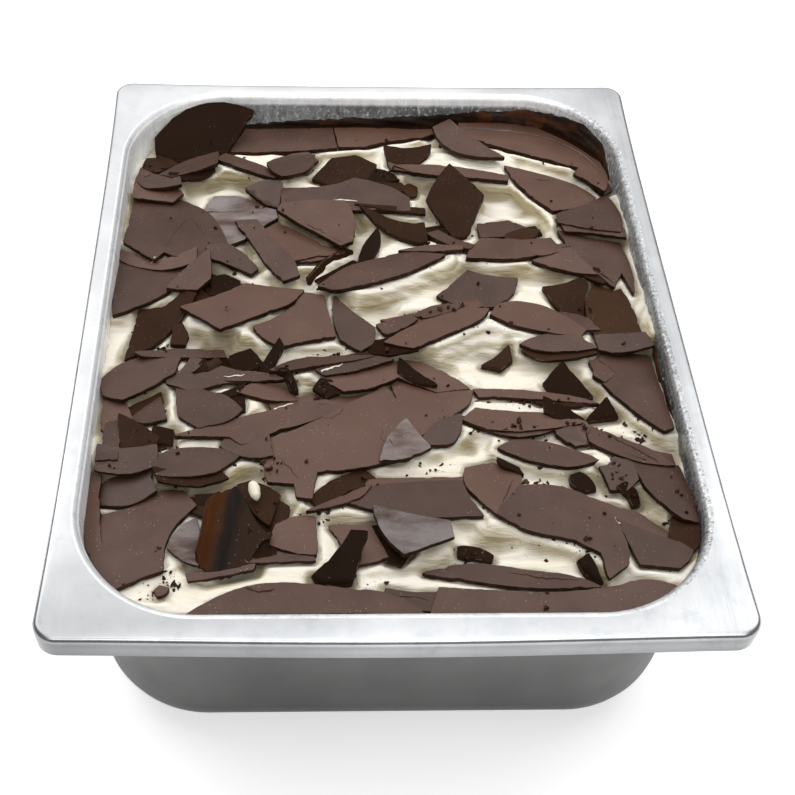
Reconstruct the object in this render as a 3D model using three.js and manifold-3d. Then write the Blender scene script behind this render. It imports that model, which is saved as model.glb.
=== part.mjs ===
// A gastronorm half pan of white gelato, ridged by the spatula and covered with broken dark chocolate.
// Millimetres, +Z up. The origin is on the table under the middle of the pan, +Y runs to its back.
import * as THREE from "three";
import { mergeVertices } from "three/addons/utils/BufferGeometryUtils.js";
import Module from "manifold-3d";

const wasm = await Module();
wasm.setup();

// Pan, pressed from one sheet of stainless steel.
const RIM_WIDTH = 265; // outer rim across X
const RIM_LENGTH = 325; // outer rim along Y
const PAN_DEPTH = 100;
const SHEET = 0.8; // steel thickness
const WALL_INSET = 10; // rim's outer edge to the inner face of the wall, at the top
const WALL_DRAFT = 1; // how far the wall leans in by the bottom
const WALL_CORNER = 48; // plan radius of the wall's corners, at the top
const ROLL_RADIUS = 3; // rolled edge between flange and wall
const BOTTOM_FILLET = 21; // bend between wall and bottom, outside
const RIM_CORNER = 8; // plan radius of the rim's outer corners
const RIM_BEND = 2.5; // bend between flange and lip
const LIP_HEIGHT = 10.5; // turned-down lip, from the top of the flange
const FRONT_BOW = 3.5; // the front edge of the rim bows out by this much
const RIM_FLARE = 1.6; // the rim spreads towards its corners by this much
const FLARE_POWER = 4; // how late the flare sets in
const CORNER_STEPS = 6;
const SIDE_STEPS = 4; // along the front and back, and along each side
const BEND_STEPS = 4;

// Filling and topping.
const FIT_GAP = 0.3; // between pieces that touch
const SHARD_THICKNESS = 1.8;
const WALL_CLEARANCE = 0.6; // wall to the nearest chocolate shard
const FLOOR_HEIGHT = 82; // gelato between the ridges
const BACK_DROP = 6; // how much lower the filling is along the back wall
const BACK_DROP_START = 100;
const BACK_DROP_END = 150;
const RIDGE_BACK_RUN = 60; // a ridge falls away gently behind its crest
const RIDGE_END_FADE = 14;
const GRID_X = 38; // gelato surface cells
const GRID_Y = 55;
const SURFACE_HALF_X = 125;
const SURFACE_HALF_Y = 155;
const CAVITY_TOP = 130;
const SHARPEST = 0.5; // cosine of half the turn beyond which an outline's offset corner is held back
const MERGE_DISTANCE = 1e-4;
const SAMPLE_STEP = 1.5; // spacing of the points at which a shard feels what it lies on
const STEEPEST_SIDEWAYS = 0.14; // slopes at which shards come to rest in the soft gelato
const STEEPEST_FORWARD = -0.22;
const STEEPEST_BACKWARD = 0.02;

const STEEL = new THREE.MeshStandardMaterial({ color: 0xb9babc, roughness: 0.32, metalness: 1 });
const CREAM = new THREE.MeshStandardMaterial({ color: 0xf6f2e4, roughness: 0.55, metalness: 0 });
const CHOCOLATE = new THREE.MeshStandardMaterial({ color: 0x4a342c, roughness: 0.42, metalness: 0 });

// Ridges left by the spatula: three points of each crest, then its rise and how far its front face runs.
const RIDGES = [
  [[-108, 86], [-78, 104], [-46, 90], 10, 6],
  [[-74, 120], [-20, 122], [24, 134], 8, 6],
  [[46, 132], [80, 119], [106, 108], 10, 9],
  [[8, 102], [42, 98], [69, 93], 10, 7],
  [[67, 100], [79, 78], [92, 58], 11, 12],
  [[-48, 73], [-17, 78], [18, 72], 9, 7],
  [[40, 39], [62, 37], [93, 44], 10, 11],
  [[-25, 15], [4, 23], [35, 39], 11, 17],
  [[-52, 34], [-38, 36], [-16, 40], 9, 8],
  [[-122, 50], [-103, 38], [-72, 44], 9, 7],
  [[-93, 4], [-60, -10], [-20, -12], 10, 10],
  [[10, -20], [28, -11], [50, 0], 11, 20],
  [[46, 0], [70, -9], [95, -13], 11, 26],
  [[-49, -30], [-28, -33], [-2, -25], 8, 7],
  [[92, -36], [107, -56], [122, -64], 10, 10],
  [[-63, -70], [-30, -83], [-6, -80], 9, 8],
  [[-8, -80], [12, -73], [38, -61], 9, 10],
  [[34, -60], [60, -63], [84, -60], 9, 7],
  [[44, -72], [64, -80], [90, -79], 9, 8],
  [[96, -78], [108, -98], [122, -110], 10, 11],
  [[-37, -104], [0, -104], [38, -106], 9, 7],
  [[38, -109], [60, -114], [84, -126], 11, 14],
  [[90, -127], [105, -131], [120, -122], 8, 7],
  [[-109, -137], [-92, -131], [-80, -123], 8, 8],
  [[-80, -132], [-55, -128], [-28, -126], 8, 9],
  [[-24, -130], [2, -126], [25, -119], 8, 9],
  [[-122, -44], [-106, -42], [-90, -32], 9, 7],
  [[-93, -57], [-78, -62], [-58, -54], 9, 7],
  [[-99, -83], [-82, -86], [-60, -77], 9, 8],
  [[86, 63], [104, 58], [123, 55], 10, 6],
  [[94, 30], [107, 22], [123, 18], 9, 6],
  [[94, -11], [106, -15], [123, -12], 10, 6],
  [[-123, 3], [-110, 8], [-98, 16], 9, 6],
  [[-116, -23], [-102, -16], [-89, -4], 9, 6],
  [[-123, -80], [-108, -79], [-96, -73], 9, 6],
  [[-112, -146], [0, -149], [112, -146], 8, 3],
];

// Chocolate shards in the order in which they were laid: name, outline and, where a shard is tipped
// further than what it lies on, its extra slope [along X, along Y].
const SHARDS = [
  ["back_strip_left", [[-73, 121], [-70, 133], [-66, 147], [-20, 148], [-18, 126], [-45, 122]]],
  ["back_strip_middle", [[-19, 148], [40, 148], [34, 142], [20, 136], [8, 133], [-2, 128], [-17, 126]]],
  ["back_strip_right", [[48, 134], [47, 148], [95, 148], [112, 134], [119, 112], [118, 95], [115, 88],
    [102, 104], [106, 110], [90, 116], [70, 124]]],
  ["back_slat", [[33, 142], [42, 148], [50, 134], [59, 120], [67, 110], [56, 112], [48, 115],
    [34, 134]]],
  ["back_left_slat", [[-80, 111], [-75, 117], [-66, 112], [-55, 105], [-47, 96], [-50, 94],
    [-66, 102]]],
  ["left_table", [[-119, 91], [-107, 86], [-97, 87], [-85, 79], [-71, 50], [-80, 42], [-91, 39],
    [-101, 43], [-105, 37], [-121, 51]]],
  ["pale_flag", [[-85, 78], [-80, 89], [-69, 89], [-58, 83], [-49, 79], [-48, 72], [-57, 63], [-64, 54],
    [-71, 50]], [0.02, -0.06]],
  ["back_dark_kite", [[-31, 102], [-21, 115], [-9, 117], [2, 111], [0, 104], [-4, 100], [-20, 98]],
    [0, 0.45]],
  ["back_bent_tile", [[6, 125], [17, 123], [31, 126], [30, 121], [20, 112], [8, 112]], [0, 0.4]],
  ["back_triangle", [[-54, 105], [-42, 115], [-29, 119], [-30, 111], [-35, 100], [-46, 93], [-50, 96]]],
  ["middle_back_table", [[-47, 90], [-30, 91], [-18, 94], [-10, 99], [9, 91], [17, 83], [17, 73],
    [-12, 73], [-17, 79], [-30, 78], [-46, 74]]],
  ["crest_slat", [[10, 106], [38, 106], [55, 102], [68, 98], [67, 93], [45, 96], [20, 100]]],
  ["right_back_table", [[67, 109], [80, 106], [92, 103], [103, 98], [112, 88], [104, 80], [87, 72],
    [79, 81], [72, 93]]],
  ["right_back_tile", [[89, 71], [104, 80], [117, 90], [120, 80], [120, 64], [118, 57], [103, 59],
    [88, 63]]],
  ["right_long_tile", [[88, 61], [103, 57], [118, 55], [120, 30], [118, 18], [115, 33], [109, 21],
    [101, 32], [92, 46]]],
  ["dark_scoop", [[-8, 75], [1, 69], [12, 63], [23, 62], [24, 51], [20, 50], [6, 57], [-2, 66]],
    [0, 0.3]],
  ["middle_right_table", [[41, 39], [45, 48], [50, 55], [62, 55], [78, 51], [90, 49], [89, 44],
    [76, 40], [60, 38]]],
  ["dark_diamond", [[38, 103], [47, 92], [54, 83], [48, 68], [44, 58], [37, 57], [29, 71], [25, 80],
    [31, 93]], [0, 0.2]],
  ["left_pocket_tile", [[-56, 62], [-48, 69], [-34, 57], [-18, 42], [-30, 40], [-40, 37], [-46, 47]]],
  ["middle_left_tile", [[-46, 75], [-30, 78], [-15, 78], [-11, 66], [-12, 48], [-18, 45], [-34, 58],
    [-48, 70]]],
  ["left_diagonal_tile", [[-69, 66], [-58, 66], [-55, 61], [-46, 46], [-40, 37], [-37, 27], [-45, 24],
    [-53, 36], [-60, 50]]],
  ["left_lower_tile", [[-98, 17], [-91, 29], [-80, 44], [-79, 38], [-78, 25], [-84, 17]]],
  ["left_wall_tile", [[-122, 46], [-106, 37], [-96, 35], [-91, 30], [-98, 17], [-109, 8], [-121, 2],
    [-123, 25]]],
  ["left_dark_tile", [[-110, 8], [-99, 9], [-90, 17], [-84, 15], [-88, 5], [-92, -3], [-100, -13],
    [-114, -22]], [0, 0.12]],
  ["middle_wedge", [[-35, 20], [-26, 18], [-23, 0], [-21, -11], [-34, -14], [-46, -18], [-54, -11],
    [-58, -4], [-45, 5]]],
  ["left_kite", [[-91, 5], [-77, 13], [-62, 24], [-48, 22], [-35, 21], [-40, 12], [-56, 1],
    [-72, -10]]],
  ["middle_slip", [[-21, 17], [-11, 6], [-3, -1], [-3, -10], [-10, -17], [-19, -11], [-22, 5]]],
  ["centre_table", [[-14, 35], [0, 40], [8, 43], [32, 41], [20, 32], [5, 24], [-10, 19], [-23, 17],
    [-29, 20]]],
  ["centre_dark_tile", [[42, 35], [51, 31], [65, 29], [63, 21], [52, 9], [37, 8], [26, 17], [36, 28]],
    [0, 0.1]],
  ["right_dark_scoop", [[76, 23], [86, 25], [94, 29], [98, 25], [95, 15], [93, 5], [88, 2], [82, 10]],
    [0, 0.25]],
  ["right_slab", [[101, 26], [96, 18], [94, 4], [96, -13], [106, -14], [117, -8], [116, 8], [113, 23],
    [109, 21]], [0, 0.05]],
  ["mound_left_tile", [[0, -13], [10, -5], [24, 3], [40, 7], [49, 5], [45, -1], [28, -11], [13, -19]]],
  ["mound_right_tile", [[49, 2], [53, 9], [62, 13], [74, 10], [83, 3], [92, -7], [88, -12], [70, -9],
    [58, -5]]],
  ["black_triangle", [[69, -34], [79, -24], [83, -30], [91, -41], [80, -41], [72, -38]], [0, 0.4]],
  ["right_front_table", [[95, -22], [98, -16], [120, -16], [121, -62], [116, -64], [108, -57],
    [101, -48], [94, -38], [101, -31]]],
  ["front_slat", [[38, -38], [60, -39], [86, -44], [92, -47], [60, -44], [40, -43]]],
  ["left_front_wall_tile", [[-123, -34], [-114, -24], [-100, -21], [-89, -21], [-91, -31], [-104, -42],
    [-112, -47], [-121, -44]]],
  ["left_front_kite", [[-91, -31], [-80, -38], [-68, -43], [-61, -51], [-65, -56], [-79, -62],
    [-88, -55]]],
  ["left_front_band", [[-89, -66], [-63, -55], [-40, -46], [-26, -42], [-17, -46], [-30, -54],
    [-45, -61], [-61, -70], [-66, -66]]],
  ["centre_front_table", [[-61, -71], [-30, -55], [-17, -46], [0, -35], [4, -42], [12, -66], [5, -77],
    [-8, -81], [-30, -84], [-32, -98], [-38, -97], [-39, -90], [-50, -89], [-52, -78]]],
  ["centre_front_tile", [[3, -33], [8, -31], [21, -40], [38, -39], [36, -46], [28, -54], [19, -61],
    [13, -66], [8, -54]]],
  ["centre_front_ramp", [[-27, -33], [-10, -25], [15, -21], [25, -26], [37, -37], [22, -40], [6, -31],
    [-5, -37], [-18, -40]], [0, -0.1]],
  ["front_crest_slat", [[31, -57], [38, -50], [52, -52], [72, -54], [83, -59], [65, -63], [40, -62]]],
  ["front_right_slat", [[45, -72], [53, -67], [64, -68], [78, -73], [87, -78], [76, -82], [60, -80]]],
  ["front_corner_tile", [[96, -77], [112, -80], [120, -79], [122, -95], [121, -110], [115, -109],
    [108, -101], [103, -93], [101, -85]]],
  ["left_black_tile", [[-113, -54], [-104, -59], [-95, -66], [-99, -73], [-110, -77]], [0, 0.3]],
  ["left_front_slat", [[-98, -76], [-90, -72], [-73, -71], [-60, -74], [-72, -85], [-84, -87],
    [-95, -86]]],
  ["corner_table", [[-118, -100], [-104, -97], [-94, -89], [-84, -90], [-78, -98], [-88, -113],
    [-89, -130], [-107, -138], [-117, -124], [-121, -110]]],
  ["curl_neighbour", [[-63, -91], [-47, -95], [-41, -99], [-45, -110], [-50, -114], [-60, -112]],
    [0, 0.2]],
  ["front_band", [[-18, -99], [-8, -91], [10, -88], [29, -87], [31, -94], [36, -106], [16, -107],
    [-5, -104]]],
  ["front_flag", [[31, -80], [43, -77], [54, -83], [51, -94], [41, -106], [35, -98], [30, -88]],
    [0, 0.03]],
  ["front_right_table", [[41, -107], [52, -91], [72, -91], [84, -98], [90, -109], [91, -128],
    [81, -136], [80, -124], [69, -118], [52, -114]]],
  ["front_right_tile", [[90, -105], [100, -111], [112, -117], [118, -112], [117, -122], [110, -130],
    [95, -128]]],
  ["front_pale_tile", [[-8, -102], [8, -107], [22, -110], [23, -118], [3, -126], [-4, -117]],
    [0, -0.02]],
  ["front_wall_strip_left", [[-80, -149], [-57, -136], [-20, -137], [2, -142], [10, -149]]],
  ["front_wall_strip_right", [[12, -149], [16, -137], [40, -139], [70, -139], [84, -137], [97, -134],
    [108, -137], [90, -149]]],
];

// One piece of chocolate stands in the back corner, and one is curled up at the front.
const STANDING = {
  outline: [[-111, 119], [-112, 128], [-98, 142], [-80, 147], [-61, 143], [-67, 134], [-75, 120],
    [-93, 116]],
  foot: [-90, 119, 85.4],
  slope: 0.45,
};
const CURL = {
  outline: [[-80, -126], [-79, -117], [-72, -103], [-67, -96], [-62, -92], [-57, -99], [-50, -113],
    [-54, -128], [-72, -131]],
  foot: [-70, -129, 85.6], // front end of its lowest line
  slope: 0.2,
  length: 44,
  radius: 9,
  from: 188, // its left edge curls up from here, seen from the front, 270 being its lowest line
  to: 284, // and runs on straight from here
  tail: 24,
  turn: -12,
  steps: 10,
};

function quadraticThrough([first, middle, last], x) {
  const [x0, y0] = first;
  const [x1, y1] = middle;
  const [x2, y2] = last;
  return (y0 * (x - x1) * (x - x2)) / ((x0 - x1) * (x0 - x2))
    + (y1 * (x - x0) * (x - x2)) / ((x1 - x0) * (x1 - x2))
    + (y2 * (x - x0) * (x - x1)) / ((x2 - x0) * (x2 - x1));
}

function gelatoHeight(x, y) {
  const drop = BACK_DROP * THREE.MathUtils.smoothstep(y, BACK_DROP_START, BACK_DROP_END);
  let rise = 0;
  for (const [first, middle, last, height, faceRun] of RIDGES) {
    const within = THREE.MathUtils.clamp(x, first[0], last[0]);
    const fade = 1 - Math.min(1, Math.abs(x - within) / RIDGE_END_FADE);
    const behind = y - quadraticThrough([first, middle, last], within);
    let share = Math.max(0, 1 - behind / RIDGE_BACK_RUN);
    if (behind < 0) {
      share = behind < -faceRun ? 0 : (1 + Math.cos((Math.PI * behind) / faceRun)) / 2;
    }
    rise = Math.max(rise, height * fade * share);
  }
  return FLOOR_HEIGHT - drop + rise;
}

function geometryFrom(vertices, triangles) {
  const geometry = new THREE.BufferGeometry();
  geometry.setAttribute("position", new THREE.Float32BufferAttribute(vertices.flat(), 3));
  geometry.setIndex(triangles.flat());
  const [a, b, c] = [new THREE.Vector3(), new THREE.Vector3(), new THREE.Vector3()];
  let volume = 0;
  for (const [i, j, k] of triangles) {
    volume += a.fromArray(vertices[i]).dot(b.fromArray(vertices[j]).cross(c.fromArray(vertices[k])));
  }
  if (volume < 0) geometry.setIndex(triangles.map(([i, j, k]) => [i, k, j]).flat());
  geometry.computeVertexNormals();
  return geometry;
}

function solidFrom(geometry) {
  const bare = geometry.clone();
  bare.deleteAttribute("normal");
  bare.deleteAttribute("uv");
  const merged = mergeVertices(bare, MERGE_DISTANCE);
  return new wasm.Manifold(new wasm.Mesh({
    numProp: 3,
    vertProperties: new Float32Array(merged.attributes.position.array),
    triVerts: new Uint32Array(merged.index.array),
  }));
}

function geometryOf(solid) {
  const mesh = solid.getMesh();
  const geometry = new THREE.BufferGeometry();
  geometry.setAttribute("position", new THREE.Float32BufferAttribute(mesh.vertProperties, 3));
  geometry.setIndex(Array.from(mesh.triVerts));
  geometry.computeVertexNormals();
  return geometry;
}

function largestBody(solid) {
  const bodies = solid.decompose();
  return bodies.reduce((best, body) => (body.volume() > best.volume() ? body : best));
}

// A rounded rectangle that lies `inset` inside the rim, as one closed loop. A `spread` of 1 gives it
// the rim's flare and its bowed front.
function ring(inset, z, corner, spread = 0) {
  const halfX = RIM_WIDTH / 2 - inset;
  const halfY = RIM_LENGTH / 2 - inset;
  const loop = [];
  for (const [sideX, sideY, start] of [[1, -1, -90], [1, 1, 0], [-1, 1, 90], [-1, -1, 180]]) {
    const centre = new THREE.Vector2(sideX * (halfX - corner), sideY * (halfY - corner));
    for (let step = 0; step <= CORNER_STEPS; step += 1) {
      const angle = THREE.MathUtils.degToRad(start + (90 * step) / CORNER_STEPS);
      loop.push([centre.x + corner * Math.cos(angle), centre.y + corner * Math.sin(angle)]);
    }
    const turned = THREE.MathUtils.degToRad(start + 90);
    const [from, along] = [loop.at(-1), sideX === sideY ? 2 * (halfX - corner) : 2 * (halfY - corner)];
    for (let step = 1; step < SIDE_STEPS; step += 1) {
      const distance = (along * step) / SIDE_STEPS;
      loop.push([from[0] - distance * Math.sin(turned), from[1] + distance * Math.cos(turned)]);
    }
  }
  return loop.map(([x, y]) => {
    const flareX = RIM_FLARE * Math.sign(x) * (y / halfY) ** FLARE_POWER;
    const flareY = RIM_FLARE * Math.sign(y) * (x / halfX) ** FLARE_POWER;
    const bow = y < -halfY / 2 ? FRONT_BOW * Math.max(0, 1 - (x / halfX) ** 2) : 0;
    const nearSide = Math.min(1, Math.max(0, Math.abs(x) - halfX + corner) / corner);
    const nearEnd = Math.min(1, Math.max(0, Math.abs(y) - halfY + corner) / corner);
    return [x + spread * nearSide * flareX, y + spread * nearEnd * (flareY - bow), z];
  });
}

// Skins a run of rings and closes both ends flat.
function loft(rings) {
  const count = rings[0].length;
  const vertices = [...rings.flat(), [0, 0, rings[0][0][2]], [0, 0, rings.at(-1)[0][2]]];
  const triangles = [];
  for (let level = 0; level < rings.length - 1; level += 1) {
    for (let i = 0; i < count; i += 1) {
      const a = level * count + i;
      const b = level * count + ((i + 1) % count);
      triangles.push([a, b, b + count], [a, b + count, a + count]);
    }
  }
  const first = vertices.length - 2;
  const last = (rings.length - 1) * count;
  for (let i = 0; i < count; i += 1) {
    const next = (i + 1) % count;
    triangles.push([first, next, i], [first + 1, last + i, last + next]);
  }
  return geometryFrom(vertices, triangles);
}

// Concentric corners: the plan radius grows by what the ring moves outwards.
function wallRing(inset, z) {
  return ring(inset, z, WALL_CORNER + WALL_INSET - inset);
}

function bend(centreInset, centreZ, radius, from, to, makeRing) {
  const rings = [];
  for (let step = 0; step <= BEND_STEPS; step += 1) {
    const angle = THREE.MathUtils.degToRad(from + ((to - from) * step) / BEND_STEPS);
    rings.push(makeRing(centreInset + radius * Math.cos(angle), centreZ + radius * Math.sin(angle)));
  }
  return rings;
}

// The wall from the middle of the bottom up to the roll, `off` inside the pan's inner face.
function wallRings(off) {
  const radius = BOTTOM_FILLET - SHEET - off;
  const foot = WALL_INSET + WALL_DRAFT + off + radius;
  return [
    ...bend(foot, SHEET + off + radius, radius, 270, 180, wallRing),
    wallRing(WALL_INSET + off, PAN_DEPTH - ROLL_RADIUS),
  ];
}

function makePan() {
  const rimRing = (inset, z) => ring(inset, z, RIM_CORNER - inset, 1);
  const rollInset = WALL_INSET - ROLL_RADIUS;
  const bendZ = PAN_DEPTH - RIM_BEND;
  const rollZ = PAN_DEPTH - ROLL_RADIUS;
  const rings = [
    ...wallRings(0),
    ...bend(rollInset, rollZ, ROLL_RADIUS, 0, 90, wallRing).slice(1),
    ...bend(RIM_BEND, bendZ, RIM_BEND, 90, 180, rimRing),
    rimRing(0, PAN_DEPTH - LIP_HEIGHT),
    rimRing(SHEET, PAN_DEPTH - LIP_HEIGHT),
    ...bend(RIM_BEND, bendZ, RIM_BEND - SHEET, 180, 90, rimRing),
    ...bend(rollInset, rollZ, ROLL_RADIUS - SHEET, 90, 0, wallRing),
    ...wallRings(-SHEET).slice(0, -1).reverse(),
  ];
  return loft(rings);
}

// The room inside the pan, `off` away from the wall, open upwards.
function cavity(off) {
  const rings = [...wallRings(off), wallRing(WALL_INSET + off, CAVITY_TOP)];
  return solidFrom(loft(rings));
}

function insideOutline(outline, x, y) {
  let inside = false;
  outline.forEach(([x0, y0], i) => {
    const [x1, y1] = outline[(i + 1) % outline.length];
    if ((y0 > y) !== (y1 > y) && x < x0 + ((x1 - x0) * (y - y0)) / (y1 - y0)) inside = !inside;
  });
  return inside;
}

function distanceToOutline(outline, x, y) {
  if (insideOutline(outline, x, y)) return 0;
  const point = new THREE.Vector3(x, y, 0);
  const edge = new THREE.Line3();
  const nearest = new THREE.Vector3();
  return Math.min(...outline.map(([x0, y0], i) => {
    const [x1, y1] = outline[(i + 1) % outline.length];
    edge.set(new THREE.Vector3(x0, y0, 0), new THREE.Vector3(x1, y1, 0));
    return edge.closestPointToPoint(point, true, nearest).distanceTo(point);
  }));
}

// Moves every edge of an outline inwards, or outwards where `amount` is negative.
function shrink(outline, amount) {
  const count = outline.length;
  const points = outline.map(([x, y]) => new THREE.Vector2(x, y));
  const turn = Math.sign(THREE.ShapeUtils.area(points));
  return points.map((point, i) => {
    const before = point.clone().sub(points[(i + count - 1) % count]).normalize();
    const after = points[(i + 1) % count].clone().sub(point).normalize();
    const normal = new THREE.Vector2(-before.y - after.y, before.x + after.x).normalize();
    const reach = Math.max(SHARPEST, normal.dot(new THREE.Vector2(-before.y, before.x)));
    return [point.x + (normal.x * turn * amount) / reach, point.y + (normal.y * turn * amount) / reach];
  });
}

function samplesIn(outline) {
  const box = new THREE.Box2().setFromPoints(outline.map(([x, y]) => new THREE.Vector2(x, y)));
  const samples = outline.map(([x, y]) => [x, y]);
  for (let x = box.min.x; x <= box.max.x; x += SAMPLE_STEP) {
    for (let y = box.min.y; y <= box.max.y; y += SAMPLE_STEP) {
      if (insideOutline(outline, x, y)) samples.push([x, y]);
    }
  }
  return samples;
}

// The plane z = level + slopeX * (x - midX) + slopeY * (y - midY) that fits the heights best.
function fitPlane(samples, heights) {
  const count = samples.length;
  const midX = samples.reduce((sum, [x]) => sum + x, 0) / count;
  const midY = samples.reduce((sum, [, y]) => sum + y, 0) / count;
  const level = heights.reduce((sum, z) => sum + z, 0) / count;
  let [xx, xy, yy, xz, yz] = [0, 0, 0, 0, 0];
  samples.forEach(([x, y], i) => {
    const [dx, dy, dz] = [x - midX, y - midY, heights[i] - level];
    xx += dx * dx;
    xy += dx * dy;
    yy += dy * dy;
    xz += dx * dz;
    yz += dy * dz;
  });
  const determinant = xx * yy - xy * xy;
  const slopeX = (xz * yy - yz * xy) / determinant;
  const slopeY = (yz * xx - xz * xy) / determinant;
  return { midX, midY, level, slopeX, slopeY };
}

function planeHeight(plane, x, y) {
  return plane.level + plane.slopeX * (x - plane.midX) + plane.slopeY * (y - plane.midY);
}

function prism(corners, plane, below, above) {
  const contour = corners.map(([x, y]) => new THREE.Vector2(x, y));
  const clockwise = THREE.ShapeUtils.isClockWise(contour);
  if (clockwise) contour.reverse();
  const outline = clockwise ? [...corners].reverse() : corners;
  const faces = THREE.ShapeUtils.triangulateShape(contour, []);
  const count = outline.length;
  const under = outline.map(([x, y]) => [x, y, planeHeight(plane, x, y) + below]);
  const over = outline.map(([x, y]) => [x, y, planeHeight(plane, x, y) + above]);
  const triangles = [];
  for (const [a, b, c] of faces) {
    triangles.push([a, c, b], [a + count, b + count, c + count]);
  }
  for (let i = 0; i < count; i += 1) {
    const next = (i + 1) % count;
    triangles.push([i, next, next + count], [i, next + count, i + count]);
  }
  return geometryFrom([...under, ...over], triangles);
}

// Lays a shard on the gelato and on the shards that are already there.
function layShard(outline, [extraX, extraY], laid) {
  const shape = shrink(outline, FIT_GAP);
  const samples = samplesIn(shape);
  const below = laid.filter((other) => samples.some(([x, y]) => insideOutline(other.shape, x, y)));
  const supports = samples.map(([x, y]) => {
    const tops = below.filter((other) => insideOutline(other.shape, x, y))
      .map((other) => planeHeight(other.plane, x, y) + SHARD_THICKNESS + FIT_GAP);
    return Math.max(...tops, -Infinity);
  });
  const bed = samples.map(([x, y], i) => Math.max(gelatoHeight(x, y), supports[i]));
  const plane = fitPlane(samples, bed);
  plane.slopeX = extraX + THREE.MathUtils.clamp(plane.slopeX, -STEEPEST_SIDEWAYS, STEEPEST_SIDEWAYS);
  plane.slopeY = extraY + THREE.MathUtils.clamp(plane.slopeY, STEEPEST_FORWARD, STEEPEST_BACKWARD);
  const lift = Math.max(0, ...samples.map(([x, y], i) => supports[i] - planeHeight(plane, x, y)));
  plane.level += lift;
  return { shape, plane };
}

// A plate that leans back at a set slope, with its foot at a set place. The curled shard lies on one too.
function leaningPlate({ outline, foot, slope }) {
  const [midX, midY, level] = foot;
  return { shape: shrink(outline, FIT_GAP), plane: { midX, midY, level, slopeX: 0, slopeY: slope } };
}

// The curled shard: a band that bends up along its left, drawn out along its own axis. `extra` is added
// on every side.
function makeCurl(extra) {
  const turn = THREE.MathUtils.radToDeg(extra / CURL.radius);
  const face = (radius) => {
    const points = [];
    const end = THREE.MathUtils.degToRad(CURL.to);
    const start = THREE.MathUtils.degToRad(CURL.from - turn);
    for (let step = 0; step <= CURL.steps; step += 1) {
      const angle = start + ((end - start) * step) / CURL.steps;
      points.push(new THREE.Vector2(radius * Math.cos(angle), CURL.radius + radius * Math.sin(angle)));
    }
    const run = new THREE.Vector2(-Math.sin(end), Math.cos(end)).multiplyScalar(CURL.tail + extra);
    return [...points, points.at(-1).clone().add(run)];
  };
  const section = new THREE.Shape([
    ...face(CURL.radius + extra),
    ...face(CURL.radius - SHARD_THICKNESS - extra).reverse(),
  ]);
  const depth = CURL.length + 2 * extra;
  const geometry = new THREE.ExtrudeGeometry(section, { depth, bevelEnabled: false });
  geometry.rotateX(Math.PI / 2).translate(0, CURL.length + extra, 0);
  geometry.rotateZ(THREE.MathUtils.degToRad(CURL.turn)).rotateX(Math.atan(CURL.slope));
  geometry.translate(...CURL.foot);
  const level = { midX: 0, midY: 0, level: 0, slopeX: 0, slopeY: 0 };
  const column = prism(shrink(CURL.outline, -extra), level, CURL.foot[2] - CURL.radius, CAVITY_TOP);
  return largestBody(solidFrom(geometry).intersect(solidFrom(column)));
}

function shardSolid({ shape, plane }, laid, room) {
  let solid = solidFrom(prism(shape, plane, 0, SHARD_THICKNESS)).intersect(room);
  for (const other of laid) {
    const grown = prism(shrink(other.shape, -FIT_GAP), other.plane, -FIT_GAP, SHARD_THICKNESS + FIT_GAP);
    solid = solid.subtract(solidFrom(grown));
  }
  return largestBody(solid);
}

function makeGelato(laid, room) {
  const reach = Math.hypot((2 * SURFACE_HALF_X) / GRID_X, (2 * SURFACE_HALF_Y) / GRID_Y);
  const vertices = [];
  const triangles = [];
  const border = [];
  for (let row = 0; row <= GRID_Y; row += 1) {
    for (let column = 0; column <= GRID_X; column += 1) {
      const x = SURFACE_HALF_X * ((2 * column) / GRID_X - 1);
      const y = SURFACE_HALF_Y * ((2 * row) / GRID_Y - 1);
      let z = gelatoHeight(x, y);
      for (const { shape, plane } of laid) {
        if (distanceToOutline(shape, x, y) < reach) z = Math.min(z, planeHeight(plane, x, y) - FIT_GAP);
      }
      vertices.push([x, y, z]);
    }
  }
  const width = GRID_X + 1;
  for (let row = 0; row < GRID_Y; row += 1) {
    for (let column = 0; column < GRID_X; column += 1) {
      const a = row * width + column;
      triangles.push([a, a + 1, a + width + 1], [a, a + width + 1, a + width]);
    }
  }
  for (let column = 0; column < GRID_X; column += 1) border.push(column);
  for (let row = 0; row < GRID_Y; row += 1) border.push(row * width + GRID_X);
  for (let column = GRID_X; column > 0; column -= 1) border.push(GRID_Y * width + column);
  for (let row = GRID_Y; row > 0; row -= 1) border.push(row * width);
  const foot = vertices.length;
  for (const i of border) vertices.push([vertices[i][0], vertices[i][1], 0]);
  vertices.push([0, 0, 0]);
  border.forEach((top, i) => {
    const next = (i + 1) % border.length;
    triangles.push([top, foot + i, foot + next], [top, foot + next, border[next]]);
    triangles.push([vertices.length - 1, foot + next, foot + i]);
  });
  return geometryOf(largestBody(solidFrom(geometryFrom(vertices, triangles)).intersect(room)));
}

function addMesh(group, name, geometry, material) {
  const mesh = new THREE.Mesh(geometry, material.clone());
  mesh.name = name;
  group.add(mesh);
}

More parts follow.
